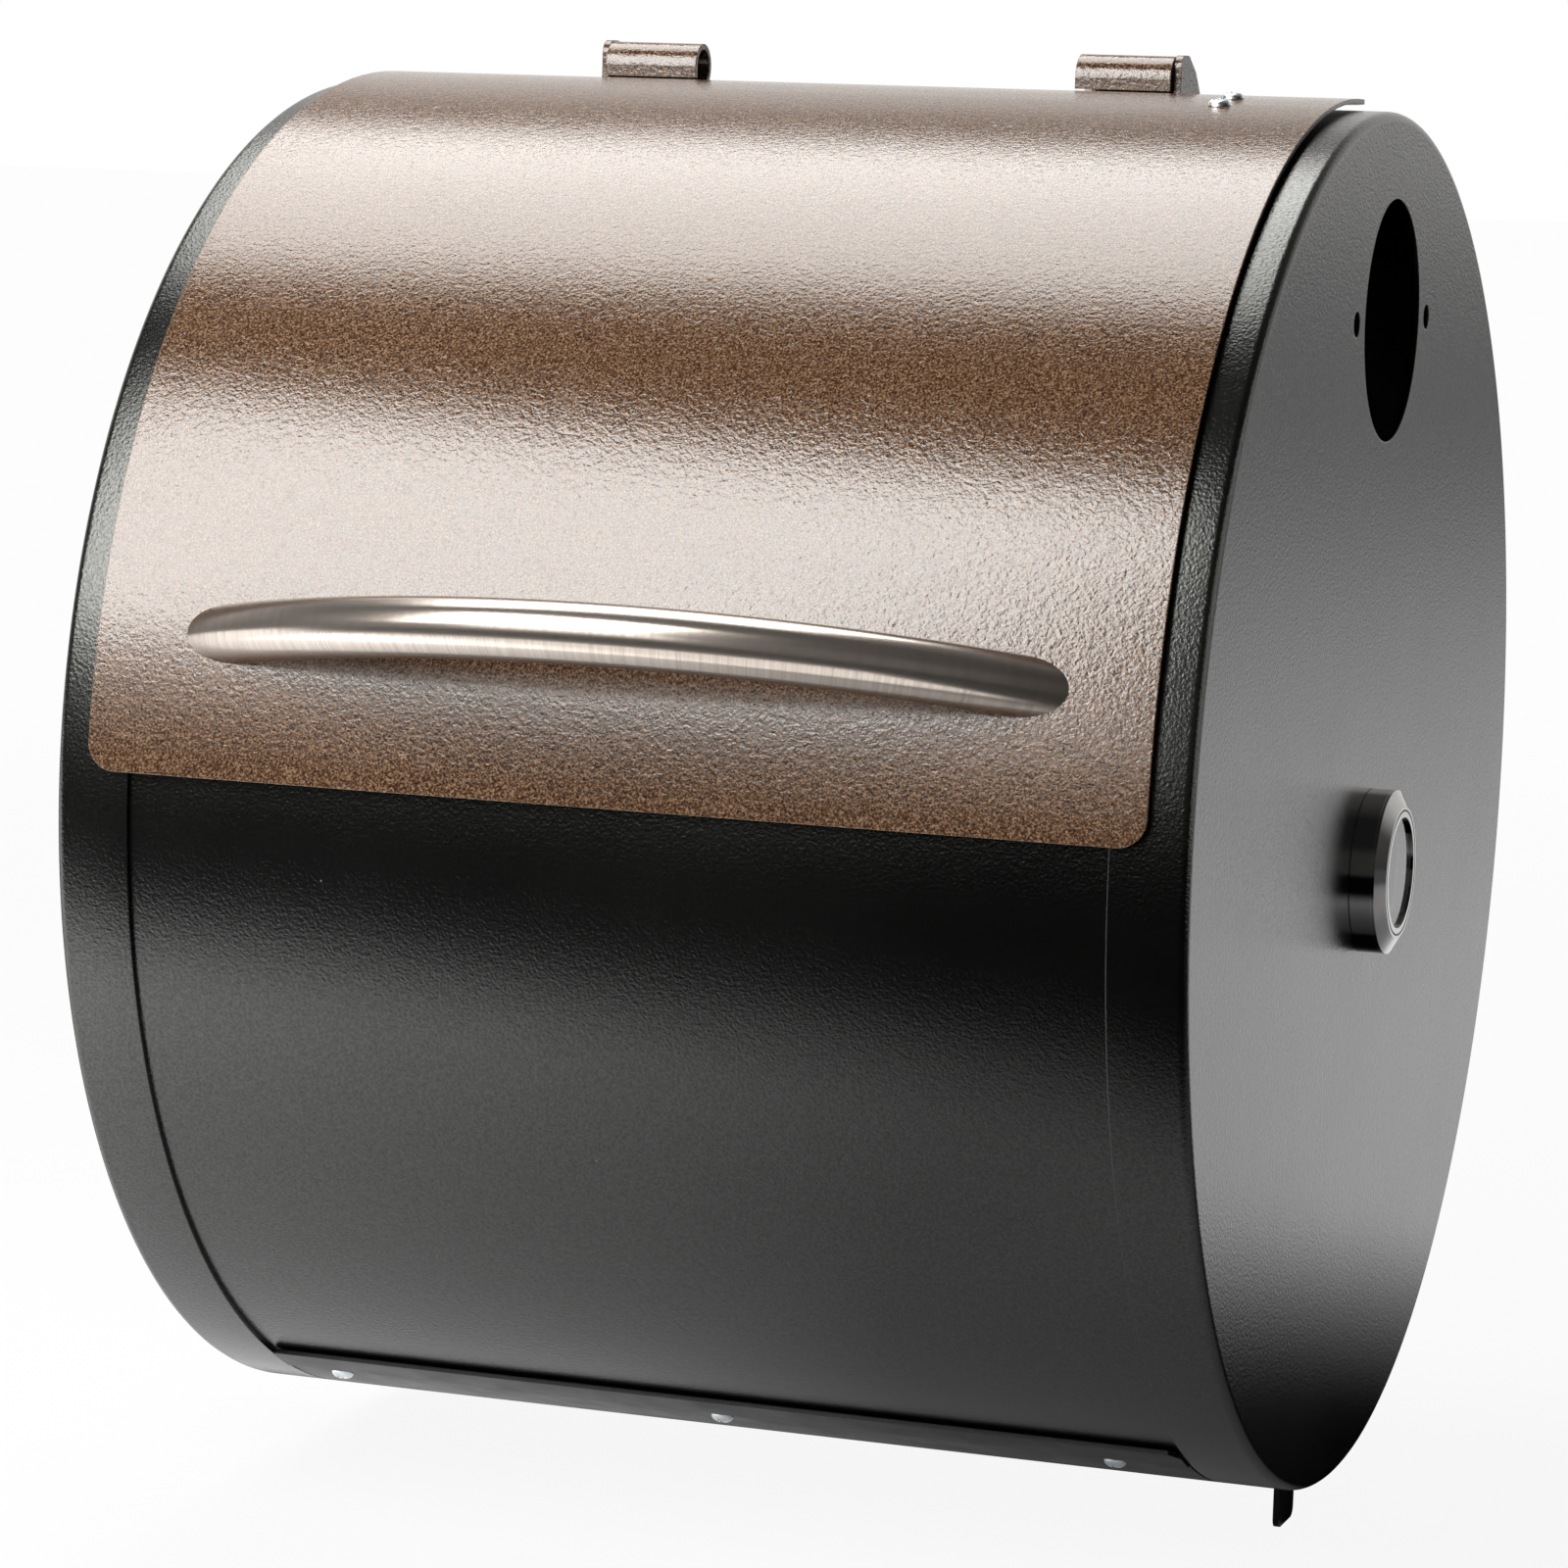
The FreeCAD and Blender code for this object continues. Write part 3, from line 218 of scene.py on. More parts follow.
def black_powder_coat():
    s = Shader("black_powder_coat")
    rounded = s.soft_edges(0.0007)
    pebble = s.noise(1050, 2.0, 0.5, 0.2)
    dimple = s.cells(850, "SMOOTH_F1")
    broad = s.noise(7, 3.0, 0.6)
    height = s.math("SUBTRACT", pebble, s.math("MULTIPLY", dimple, 0.4))
    motes = s.span(s.cells(75), 0.035, 0.02)
    dust = s.math("MULTIPLY", motes, s.span(s.noise(31, 1.0), 0.56, 0.62))
    tone = s.mix(s.span(broad, 0.3, 0.7), (0.0012, 0.0012, 0.0012), (0.0022, 0.0022, 0.0021))
    tone = s.mix(s.math("MULTIPLY", dust, 0.22), tone, (0.4, 0.4, 0.38))
    # Painted highlight: the colour is lighter along sharp edges.
    tone = s.mix(s.math("MULTIPLY", s.painted_edge_highlight(), 0.12), tone, (0.12, 0.12, 0.12))
    s.set(
        Base_Color=tone,
        Roughness=s.span(broad, 0.3, 0.7, 0.20, 0.24),
        IOR=s.span(pebble, 0.35, 0.65, 1.54, 1.69),
        Specular_Tint=(0.985, 1.0, 0.965),
        Normal=s.bump(height, 0.00012, 0.9, rounded),
    )
    return s.material


def satin_black():
    """The strip's, spout's, hinge pins' and hinge bracket screws' paint: smoother than the
    barrel's.
    """
    s = Shader("satin_black_paint")
    rounded = s.soft_edges(0.0005)
    flow = s.noise(60, 3.0, 0.6)
    peel = s.noise(700, 1.0)
    tone = s.mix(s.span(flow, 0.3, 0.7), (0.002, 0.002, 0.002), (0.004, 0.004, 0.004))
    # Painted highlight: the colour is lighter along sharp edges.
    tone = s.mix(s.math("MULTIPLY", s.painted_edge_highlight(), 0.15), tone, (0.2, 0.2, 0.2))
    s.set(
        Base_Color=tone,
        Roughness=s.span(flow, 0.3, 0.7, 0.3, 0.4),
        IOR=1.32,
        Normal=s.bump(peel, 0.00007, 0.5, rounded),
    )
    return s.material


HANDLE_CENTRE = 1.9 * MM
HANDLE_BOW_ANGLE = math.radians(17.25)
HANDLE_RING_RADIUS = 242.5 * MM


def brushed_handle():
    """Stainless tube brushed round its girth, so its lines run across the bow."""
    s = Shader("brushed_stainless_tube")
    parts = s.add("ShaderNodeSeparateXYZ", Vector=s.place)
    low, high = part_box("lid_handle")
    out_y, out_z = -math.cos(HANDLE_BOW_ANGLE), math.sin(HANDLE_BOW_ANGLE)
    crown = (high.z + low.z) / 2 * out_z + low.y * out_y
    depth = s.math("ADD", s.math("MULTIPLY", parts.outputs["Y"], out_y),
                   s.math("MULTIPLY", parts.outputs["Z"], out_z))
    reach = s.math("SUBTRACT", depth, crown - HANDLE_RING_RADIUS)
    across = s.math("SUBTRACT", parts.outputs["X"], HANDLE_CENTRE)
    turn = s.math("ARCTAN2", across, reach)
    along = s.math("MULTIPLY", turn, HANDLE_RING_RADIUS)
    round_it = s.math("MULTIPLY", s.math("SUBTRACT", parts.outputs["Z"], depth), 0.05)
    lines_at = s.add("ShaderNodeCombineXYZ", X=along, Y=round_it, Z=0.0).outputs[0]
    lines = s.noise(2600, 4.0, 0.7, vector=lines_at)
    streak = s.noise(420, 3.0, 0.65, vector=lines_at)
    blotch = s.noise(28, 3.0, 0.6)
    both = s.math("ADD", s.math("MULTIPLY", lines, 0.6), s.math("MULTIPLY", streak, 0.4))
    tone = s.mix(s.span(both, 0.35, 0.65), (0.33, 0.285, 0.25), (0.47, 0.42, 0.38))
    tone = s.mix(s.span(blotch, 0.4, 0.7, 0.0, 0.25), tone, (0.38, 0.335, 0.30))
    tangent = s.add("ShaderNodeCombineXYZ", X=1.0, Y=0.0, Z=0.0).outputs[0]
    s.set(
        Base_Color=tone,
        Metallic=0.91,
        Roughness=s.span(both, 0.35, 0.65, 0.24, 0.18),
        Anisotropic=0.2,
        Tangent=tangent,
        Normal=s.bump(both, 0.00004, 0.35),
    )
    return s.material


def plain_stainless():
    s = Shader("stainless_rod")
    grain = s.noise(900, 3.0, 0.6, vector=s.stretch((0.08, 1.0, 1.0)))
    tone = s.mix(s.span(grain, 0.35, 0.65), (0.45, 0.44, 0.43), (0.66, 0.65, 0.64))
    s.set(Base_Color=tone, Metallic=1.0, Roughness=s.span(grain, 0.3, 0.7, 0.24, 0.36),
          Normal=s.bump(grain, 0.00002, 0.4))
    return s.material


def zinc_plate():
    s = Shader("zinc_plate")
    bloom = s.noise(260, 3.0, 0.6)
    tone = s.mix(s.span(bloom, 0.35, 0.65), (0.66, 0.71, 0.74), (0.86, 0.89, 0.91))
    s.set(Base_Color=tone, Metallic=1.0, Roughness=s.span(bloom, 0.35, 0.65, 0.24, 0.4),
          Normal=s.bump(s.noise(1500, 2.0), 0.00002, 0.4))
    return s.material


def dark_chrome():
    s = Shader("dark_chrome")
    haze = s.noise(40, 3.0, 0.6)
    turned = s.noise(2200, 1.0, vector=s.stretch((1.0, 0.02, 0.02)))
    tone = s.mix(s.span(haze, 0.35, 0.65), (0.42, 0.41, 0.405), (0.52, 0.51, 0.505))
    s.set(Base_Color=tone, Metallic=1.0, Roughness=s.span(haze, 0.3, 0.7, 0.07, 0.13),
          Normal=s.bump(turned, 0.000006, 0.25, s.soft_edges(0.0003)))
    return s.material


def clear_glass():
    """See-through by a plain transparent layer, so that the dial behind stays lit."""
    s = Shader("clear_glass")
    smear = s.noise(35, 3.0, 0.6)
    clear = s.add("ShaderNodeBsdfTransparent", Color=(0.97, 0.98, 0.98))
    shine = s.add("ShaderNodeBsdfAnisotropic", Color=(1.0, 1.0, 1.0),
                  Roughness=s.span(smear, 0.3, 0.7, 0.02, 0.07))
    edge_on = s.add("ShaderNodeFresnel", IOR=1.5)
    both = s.add("ShaderNodeMixShader")
    s.put(both.inputs[0], edge_on.outputs[0])
    s.put(both.inputs[1], clear.outputs[0])
    s.put(both.inputs[2], shine.outputs[0])
    s.put(s.output.inputs["Surface"], both.outputs[0])
    return s.material


def printed(name, colour, dark):
    s = Shader(name)
    grain = s.noise(400, 2.0)
    s.set(Base_Color=s.mix(s.span(grain, 0.3, 0.7), dark, colour), Roughness=0.45,
          Normal=s.bump(grain, 0.00001, 0.3))
    return s.material


def galvanised():
    s = Shader("galvanised_sheet")
    spangle = s.cells(95, "F1", "Color")
    tint = s.add("ShaderNodeSeparateColor", Color=spangle).outputs[0]
    frost = s.noise(340, 3.0, 0.6)
    tone = s.mix(s.span(tint, 0.0, 1.0), (0.36, 0.375, 0.385), (0.56, 0.575, 0.585))
    tone = s.mix(s.span(frost, 0.35, 0.7, 0.0, 0.3), tone, (0.46, 0.47, 0.475))
    s.set(Base_Color=tone, Metallic=0.9, Roughness=s.span(tint, 0.0, 1.0, 0.3, 0.46),
          Normal=s.bump(frost, 0.00003, 0.4, s.soft_edges(0.0005)))
    return s.material


def plain_steel():
    s = Shader("plain_steel")
    scale_marks = s.noise(38, 4.0, 0.65, 0.6)
    grain = s.noise(620, 3.0, 0.6)
    tone = s.ramp(
        scale_marks,
        (0.30, (0.045, 0.04, 0.04)),
        (0.50, (0.105, 0.092, 0.082)),
        (0.70, (0.17, 0.14, 0.115)),
    )
    s.set(Base_Color=tone, Metallic=0.85, Roughness=s.span(grain, 0.3, 0.7, 0.36, 0.55),
          Normal=s.bump(grain, 0.00006, 0.5, s.soft_edges(0.0005)))
    return s.material


def enamel():
    s = Shader("black_enamel")
    orange_peel = s.noise(330, 2.0)
    speck = s.span(s.cells(420), 0.16, 0.1)
    tone = s.mix(s.math("MULTIPLY", speck, 0.25), (0.035, 0.035, 0.036), (0.15, 0.15, 0.155))
    s.set(Base_Color=tone, Roughness=s.span(orange_peel, 0.3, 0.7, 0.2, 0.3),
          Normal=s.bump(orange_peel, 0.00008, 0.4))
    return s.material


def moulded(name, light, dark, roughness):
    s = Shader(name)
    grain = s.noise(750, 2.0)
    flow = s.noise(45, 3.0, 0.6)
    s.set(Base_Color=s.mix(s.span(flow, 0.3, 0.7), dark, light), Roughness=roughness,
          Normal=s.bump(grain, 0.00005, 0.4, s.soft_edges(0.0004)))
    return s.material


BRONZE = bronze_hammertone()
BLACK = black_powder_coat()
SATIN = satin_black()
TUBE = brushed_handle()
STAINLESS = plain_stainless()
ZINC = zinc_plate()
CHROME = dark_chrome()
GLASS = clear_glass()
DIAL = printed("dial_face", (0.88, 0.88, 0.86), (0.84, 0.84, 0.82))
INK = printed("dial_ink", (0.02, 0.02, 0.02), (0.012, 0.012, 0.012))
NEEDLE = printed("needle_red", (0.42, 0.02, 0.015), (0.33, 0.015, 0.012))
GALVANISED = galvanised()
STEEL = plain_steel()
ENAMEL = enamel()
BUSHING = moulded("bushing_plastic", (0.66, 0.65, 0.60), (0.58, 0.57, 0.52), 0.42)
SILICONE = moulded("silicone_rubber", (0.20, 0.035, 0.03), (0.14, 0.025, 0.02), 0.6)

NODE_MATERIALS = {
    BLACK: ("front_panel", "rear_shell", "left_end_cap", "right_end_cap"),
    SATIN: ("seam_strip", "grease_spout", "hinge_pins", "hinge_bracket_screws"),
    BRONZE: ("hinge_brackets", "hinge_knuckles", "lid_skin"),
    TUBE: ("lid_handle",),
    ZINC: (
        "seam_screws",
        "handle_inserts",
        "handle_screws",
        "lid_bracket_screws",
        "thermometer_nut",
        "burner_screws",
    ),
    GALVANISED: (
        "lid_bracket",
        "front_grate_ledge",
        "rear_grate_ledge",
        "drip_tray",
        "burner_duct",
        "auger_tube_bracket",
    ),
    CHROME: ("thermometer_case", "thermometer_bezel"),
    GLASS: ("thermometer_glass",),
    DIAL: ("thermometer_dial",),
    STAINLESS: ("thermometer_stem", "igniter_rod", "temperature_probe"),
    NEEDLE: ("thermometer_pointer",),
    ENAMEL: ("cooking_grate",),
    STEEL: ("tray_crossbars", "heat_baffle", "fire_pot", "auger_tube", "auger"),
    BUSHING: ("auger_bushing",),
    SILICONE: ("probe_grommet",),
}


def dress(name, material):
    item = NODES[name]
    item.data.materials.clear()
    item.data.materials.append(material)


for material, names in NODE_MATERIALS.items():
    for name in names:
        dress(name, material)


# ---------------------------------------------------------------- mesh helpers


WELD = 0.000002
SHARP_ANGLE = math.radians(35)


def weld(mesh):
    """Join points that lie together, and drop faces with no area."""
    bm = bmesh.new()
    bm.from_mesh(mesh)
    bmesh.ops.remove_doubles(bm, verts=bm.verts, dist=WELD)
    bmesh.ops.dissolve_degenerate(bm, edges=bm.edges, dist=WELD)
    bm.to_mesh(mesh)
    bm.free()


def smooth(mesh):
    """Smooth shading everywhere but over sharp edges."""
    for face in mesh.polygons:
        face.use_smooth = True
    mesh.set_sharp_from_angle(angle=SHARP_ANGLE)


def link(item):
    bpy.context.scene.collection.objects.link(item)
    return item


def new_piece(name, bm, material, body, replaces=()):
    """Turn a bmesh into a piece that rides on a body."""
    mesh = bpy.data.meshes.new(name)
    bmesh.ops.remove_doubles(bm, verts=bm.verts, dist=WELD)
    bmesh.ops.recalc_face_normals(bm, faces=bm.faces)
    bm.to_mesh(mesh)
    bm.free()
    smooth(mesh)
    mesh.materials.append(material)
    item = link(bpy.data.objects.new(name, mesh))
    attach(item, body)
    if replaces:
        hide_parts(*replaces)
    return item


def lathe(bm, profile, matrix, segments=48):
    """Turn (height, radius) points round the local Z axis, closing both ends."""
    rings = []
    for height, radius in profile:
        if radius < 1e-7:
            rings.append([bm.verts.new(matrix @ Vector((0, 0, height)))])
            continue
        ring = []
        for step in range(segments):
            turn = 2 * math.pi * step / segments
            point = Vector((radius * math.cos(turn), radius * math.sin(turn), height))
            ring.append(bm.verts.new(matrix @ point))
        rings.append(ring)
    for first, second in zip(rings, rings[1:]):
        for step in range(segments):
            after = (step + 1) % segments
            if len(first) == 1:
                bm.faces.new((first[0], second[step], second[after]))
            elif len(second) == 1:
                bm.faces.new((first[step], second[0], first[after]))
            else:
                bm.faces.new((first[step], second[step], second[after], first[after]))


def facing(point, outward):
    """Matrix that puts local Z along a direction, at a point."""
    turn = Vector((0, 0, 1)).rotation_difference(Vector(outward)).to_matrix().to_4x4()
    return Matrix.Translation(Vector(point)) @ turn


def radial(angle):
    turn = math.radians(angle)
    return Vector((0.0, -math.cos(turn), math.sin(turn)))


def on_barrel(across, radius, angle):
    """Point at a place along the barrel, a radius and an angle, all in mm and degrees."""
    out = radial(angle) * radius * MM
    return Vector((across * MM, out.y, AXIS_UP + out.z))


# ---------------------------------------------------------------- screws


def recessed_screw(bm, matrix, head_radius, shank_radius, shank_length, turn_by):
    """Domed pan head with a cross recess, and a shank. Z=0 is under the head."""
    matrix = matrix @ Matrix.Rotation(turn_by, 4, "Z")
    rings, segments = 22, 64
    rise = head_radius * 0.56
    edge = 0.06
    lathe(
        bm,
        [
            (-shank_length, 0.0),
            (-shank_length, shank_radius * 0.8),
            (-shank_length + shank_radius * 0.3, shank_radius),
            (0.0, shank_radius),
            (0.0, head_radius * 0.97),
            (rise * edge, head_radius),
        ],
        matrix,
        segments,
    )
    arm_half_width = head_radius * 0.15
    arm_length = head_radius * 0.56
    depth = head_radius * 0.34
    previous = None
    for ring in range(rings + 1):
        radius = head_radius * ring / rings
        share = ring / rings
        dome = rise * (edge + (1 - edge) * (1 - share**2.6) ** 0.55) if share < 1 else rise * edge
        row = []
        count = 1 if ring == 0 else segments
        for step in range(count):
            angle = 2 * math.pi * step / segments
            x, y = radius * math.cos(angle), radius * math.sin(angle)
            from_arm = min(abs(x), abs(y))
            inside = max(0.0, min(1.0, (arm_half_width - from_arm) / (arm_half_width * 0.35)))
            inside *= max(0.0, min(1.0, (arm_length - radius) / (arm_length * 0.12)))
            taper = 1 - 0.45 * radius / arm_length if radius < arm_length else 0
            row.append(bm.verts.new(matrix @ Vector((x, y, dome - depth * inside * taper))))
        if previous is not None:
            for step in range(segments):
                after = (step + 1) % segments
                if len(previous) == 1:
                    bm.faces.new((previous[0], row[step], row[after]))
                else:
                    bm.faces.new((previous[step], row[step], row[after], previous[after]))
        previous = row


# The pressed caps, in mm: outer face from the middle, gauge, outer radius, length of the
# flange over the barrel, and bend radius.
CAP_FACE, CAP_WALL, CAP_RIM, CAP_DEPTH, CAP_BEND = 184.5, 1.5, 228.6, 24.9, 3.0
CAP_BEND_STEPS, CAP_SEGMENTS, HOLE_SEGMENTS = 6, 360, 96


def cap_piece(node, side, holes, boxes):
    """Pressed cap with a smooth bend, in place of the faceted one.

    Holes are (y, z, radius) and boxes are (x, y, z ranges), in mm from the axis.
    """
    centre_x, centre_radius = CAP_FACE - CAP_BEND, CAP_RIM - CAP_BEND
    steps = [math.pi / 2 * step / CAP_BEND_STEPS for step in range(CAP_BEND_STEPS + 1)]
    outside, inside = (
        [(centre_x + r * math.cos(t), centre_radius + r * math.sin(t)) for t in steps]
        for r in (CAP_BEND, CAP_BEND - CAP_WALL)
    )
    flange_end = CAP_FACE - CAP_DEPTH
    flat_edge = centre_radius - 0.4
    profile = [(CAP_FACE, 0), (CAP_FACE, flat_edge)] + outside
    profile += [(flange_end, CAP_RIM), (flange_end, CAP_RIM - CAP_WALL)] + inside[::-1]
    profile += [(CAP_FACE - CAP_WALL, flat_edge), (CAP_FACE - CAP_WALL, 0)]
    bm = bmesh.new()
    middle = facing((0, 0, AXIS_UP), (side, 0, 0))
    lathe(bm, [(x * MM, radius * MM) for x, radius in profile], middle, CAP_SEGMENTS)
    item = new_piece(node + "_pressing", bm, BLACK, "barrel", (node,))
    bm = bmesh.new()
    overshoot = 4 * MM
    for y, z, radius in holes:
        start = (side * (CAP_FACE * MM - overshoot), y * MM, AXIS_UP + z * MM)
        through = 2 * overshoot
        shape = [(0, 0), (0, radius * MM), (through, radius * MM), (through, 0)]
        lathe(bm, shape, facing(start, (side, 0, 0)), HOLE_SEGMENTS)
    for ranges in boxes:
        low, high = (Vector([r[end] * MM for r in ranges]) for end in (0, 1))
        centre = (low + high) / 2 + Vector((0, 0, AXIS_UP))
        shape = Matrix.Translation(centre) @ Matrix.Diagonal((*(high - low), 1.0))
        bmesh.ops.create_cube(bm, size=1.0, matrix=shape)
    bmesh.ops.recalc_face_normals(bm, faces=bm.faces)
    mesh = bpy.data.meshes.new("punches")
    bm.to_mesh(mesh)
    bm.free()
    punches = link(bpy.data.objects.new("punches", mesh))
    cutting = item.modifiers.new("punch", "BOOLEAN")
    cutting.operation, cutting.solver, cutting.object = "DIFFERENCE", "EXACT", punches
    evaluated = item.evaluated_get(bpy.context.evaluated_depsgraph_get())
    item.data = bpy.data.meshes.new_from_object(evaluated)
    item.modifiers.clear()
    bpy.data.objects.remove(punches)
    weld(item.data)
    smooth(item.data)


def screw_piece(node, seats, head_radius, shank_radius, shank_length, material, body, slot):
    bm = bmesh.new()
    for number, (point, outward) in enumerate(seats):
        turn_by = 0.4 + 1.3 * number
        recessed_screw(
            bm,
            facing(point, outward),
            head_radius * MM,
            shank_radius * MM,
            shank_length * MM,
            turn_by,
        )
    new_piece(node + "_heads", bm, material, body, (node,))


CHIMNEY_Y, CHIMNEY_Z, CHIMNEY_BOLT_GAP = 7.35, 160.2, 51.5
CHIMNEY_HOLE = (CHIMNEY_Y, CHIMNEY_Z, 40.1)
CHIMNEY_BOLT_HOLES = [(CHIMNEY_Y + way * CHIMNEY_BOLT_GAP, CHIMNEY_Z, 4.25) for way in (-1, 1)]
THERMOMETER_HOLE = (CHIMNEY_Y, -23.4, 6.4)
SPOUT_SLOT = ((165.0, 168.6), (-11.3, 11.3), (-235.0, -220.0))
HOPPER_HOLES = [(y, z, 3.5) for y in (-75, 75) for z in (-60, -180)]
PROBE_HOLE = (0, 85, 5.6)
DUCT_WINDOW = ((-190.0, -175.0), (-42.5, 42.5), (-203.5, -119.5))
cap_piece(
    "right_end_cap", 1, [CHIMNEY_HOLE, *CHIMNEY_BOLT_HOLES, THERMOMETER_HOLE], [SPOUT_SLOT]
)
cap_piece("left_end_cap", -1, [*HOPPER_HOLES, PROBE_HOLE], [DUCT_WINDOW])

# Head and shank radius of the small screws, then the seats' radii and angles on the barrel.
SMALL = (3.75, 1.95)
SEAM_ANGLE, STRIP_TOP = -65.9, 228.6
LID_TOP, LID_BRACKET_X = 232.5, 135
EAR_ANGLE, EAR_FLANGE_TOP = 105, 229.05
HANDLE_ANGLE, LID_UNDERSIDE, HANDLE_MIDDLE, HANDLE_HALF_SPAN = 14, 230.9, 1.9, 121
screw_piece(
    "seam_screws",
    [(on_barrel(x, STRIP_TOP, SEAM_ANGLE), radial(SEAM_ANGLE)) for x in (-140.9, -3.1, 132.5)],
    *SMALL, 3.8, ZINC, "barrel", "zinc_plated_steel",
)
screw_piece(
    "lid_bracket_screws",
    [(on_barrel(LID_BRACKET_X, LID_TOP, angle), radial(angle)) for angle in (80.0, 84.2)],
    *SMALL, 6, ZINC, "lid", "zinc_plated_steel",
)
screw_piece(
    "hinge_bracket_screws",
    [(on_barrel(x, EAR_FLANGE_TOP, EAR_ANGLE), radial(EAR_ANGLE)) for x in (-95, -79, 79, 95)],
    *SMALL, 6, SATIN, "barrel", "black_powder_coat",
)
screw_piece(
    "burner_screws",
    [
        (Vector((LEFT_FACE, y * MM, AXIS_UP + z * MM)), (-1, 0, 0))
        for y in (-50.5, 50.5)
        for z in (-113, -207)
    ],
    *SMALL, 8, ZINC, "barrel", "zinc_plated_steel",
)
screw_piece(
    "handle_screws",
    [
        (
            on_barrel(HANDLE_MIDDLE + side * HANDLE_HALF_SPAN, LID_UNDERSIDE, HANDLE_ANGLE),
            -radial(HANDLE_ANGLE),
        )
        for side in (-1, 1)
    ],
    5.6, 2.95, 9, ZINC, "lid", "zinc_plated_steel",
)


# ---------------------------------------------------------------- dial print


DIAL_LOW, DIAL_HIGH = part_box("thermometer_dial")
DIAL_MIDDLE = (DIAL_LOW + DIAL_HIGH) / 2
SCALE_START, SCALE_SWEEP = -125.0, 250.0


def dial_point(radius, angle, lift=0.0):
    """Point on the dial's face: angle clockwise from the top, seen from the right."""
    turn = math.radians(angle)
    return Vector(
        (
            DIAL_HIGH.x + lift,
            DIAL_MIDDLE.y + radius * math.sin(turn),
            DIAL_MIDDLE.z + radius * math.cos(turn),
        )
    )


def flat_bar(bm, inner, outer, start, sweep, parts, lift):
    """A thin printed bar from one radius to another, along an arc in degrees."""
    rows = []
    for part in range(parts + 1):
        angle = start + sweep * part / parts
        ends = ((inner, lift), (outer, lift), (outer, 0.0), (inner, 0.0))
        rows.append([bm.verts.new(dial_point(radius, angle, up)) for radius, up in ends])
    for first, second in zip(rows, rows[1:]):
        for corner in range(4):
            after = (corner + 1) % 4
            bm.faces.new((first[corner], first[after], second[after], second[corner]))
    bm.faces.new(rows[0])
    bm.faces.new(rows[-1][::-1])


def printed_scale():
    """Ticks round the dial and a ring outside them."""
    bm = bmesh.new()
    steps, arc_parts = 50, 90
    tick_end, ring_inner, ring_outer = 0.0178, 0.01785, 0.0181
    long_width, short_width, lift = 0.0005, 0.00028, 0.00006
    for step in range(steps + 1):
        angle = SCALE_START + SCALE_SWEEP * step / steps
        long_tick = step % 10 == 0
        middle_tick = step % 5 == 0
        inner = 0.0148 if long_tick else 0.0158 if middle_tick else 0.0166
        width = math.degrees((long_width if long_tick else short_width) / tick_end)
        flat_bar(bm, inner, tick_end, angle - width / 2, width, 1, lift)
    flat_bar(bm, ring_inner, ring_outer, SCALE_START, SCALE_SWEEP, arc_parts, lift)
    new_piece("dial_scale", bm, INK, "barrel")


def printed_numbers():
    """Numbers at the long ticks."""
    count, centre_radius, lift = 6, 0.0122, 0.00004
    for index in range(count):
        angle = SCALE_START + SCALE_SWEEP * index / (count - 1)
        curve = bpy.data.curves.new(f"dial_number_{index}", "FONT")
        curve.body = str(100 * (index + 1) - 50)
        curve.size = 0.0036
        curve.align_x = "CENTER"
        curve.align_y = "CENTER"
        curve.extrude = 0.00003
        text = link(bpy.data.objects.new(f"dial_number_{index}", curve))
        text.rotation_euler = (math.pi / 2, 0, math.pi / 2)
        text.location = dial_point(centre_radius, angle, lift)
        bpy.context.view_layer.update()
        evaluated = text.evaluated_get(bpy.context.evaluated_depsgraph_get())
        mesh = bpy.data.meshes.new_from_object(evaluated)
        mesh.transform(text.matrix_world)
        bpy.data.objects.remove(text)
        item = link(bpy.data.objects.new(f"dial_figure_{index}", mesh))
        weld(mesh)
        mesh.materials.clear()
        mesh.materials.append(INK)
        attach(item, "barrel")


def painted_groove_shade():
    """Painted shade: a dark ring on the bezel's front, where the groove between the bezel's rim
    and the lip round its window would lie in shade.
    """
    bm = bmesh.new()
    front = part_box("thermometer_bezel")[1].x
    inner, outer, proud = 20.5, 21.2, 0.05
    ring = [(0, inner), (proud, inner), (proud, outer), (0, outer), (0, inner)]
    centre = facing((front, DIAL_MIDDLE.y, DIAL_MIDDLE.z), (1, 0, 0))
    lathe(bm, [(height * MM, radius * MM) for height, radius in ring], centre, 96)
    new_piece("painted_groove_shade", bm, INK, "barrel")


printed_scale()
printed_numbers()
painted_groove_shade()


# ---------------------------------------------------------------- studio


FLOOR_UP = CAD_BOX[0].z - 0.0003
NEAR_EDGE, FAR_EDGE = -0.36, -0.54
# Painted shadow: round this spot the floor's glow for glossy rays fades to dark, where the grill's
# shadow would lie.
PAINTED_SHADOW_SPOT = (0.27, 0.12)
CAMERA_WHITE = 0.98


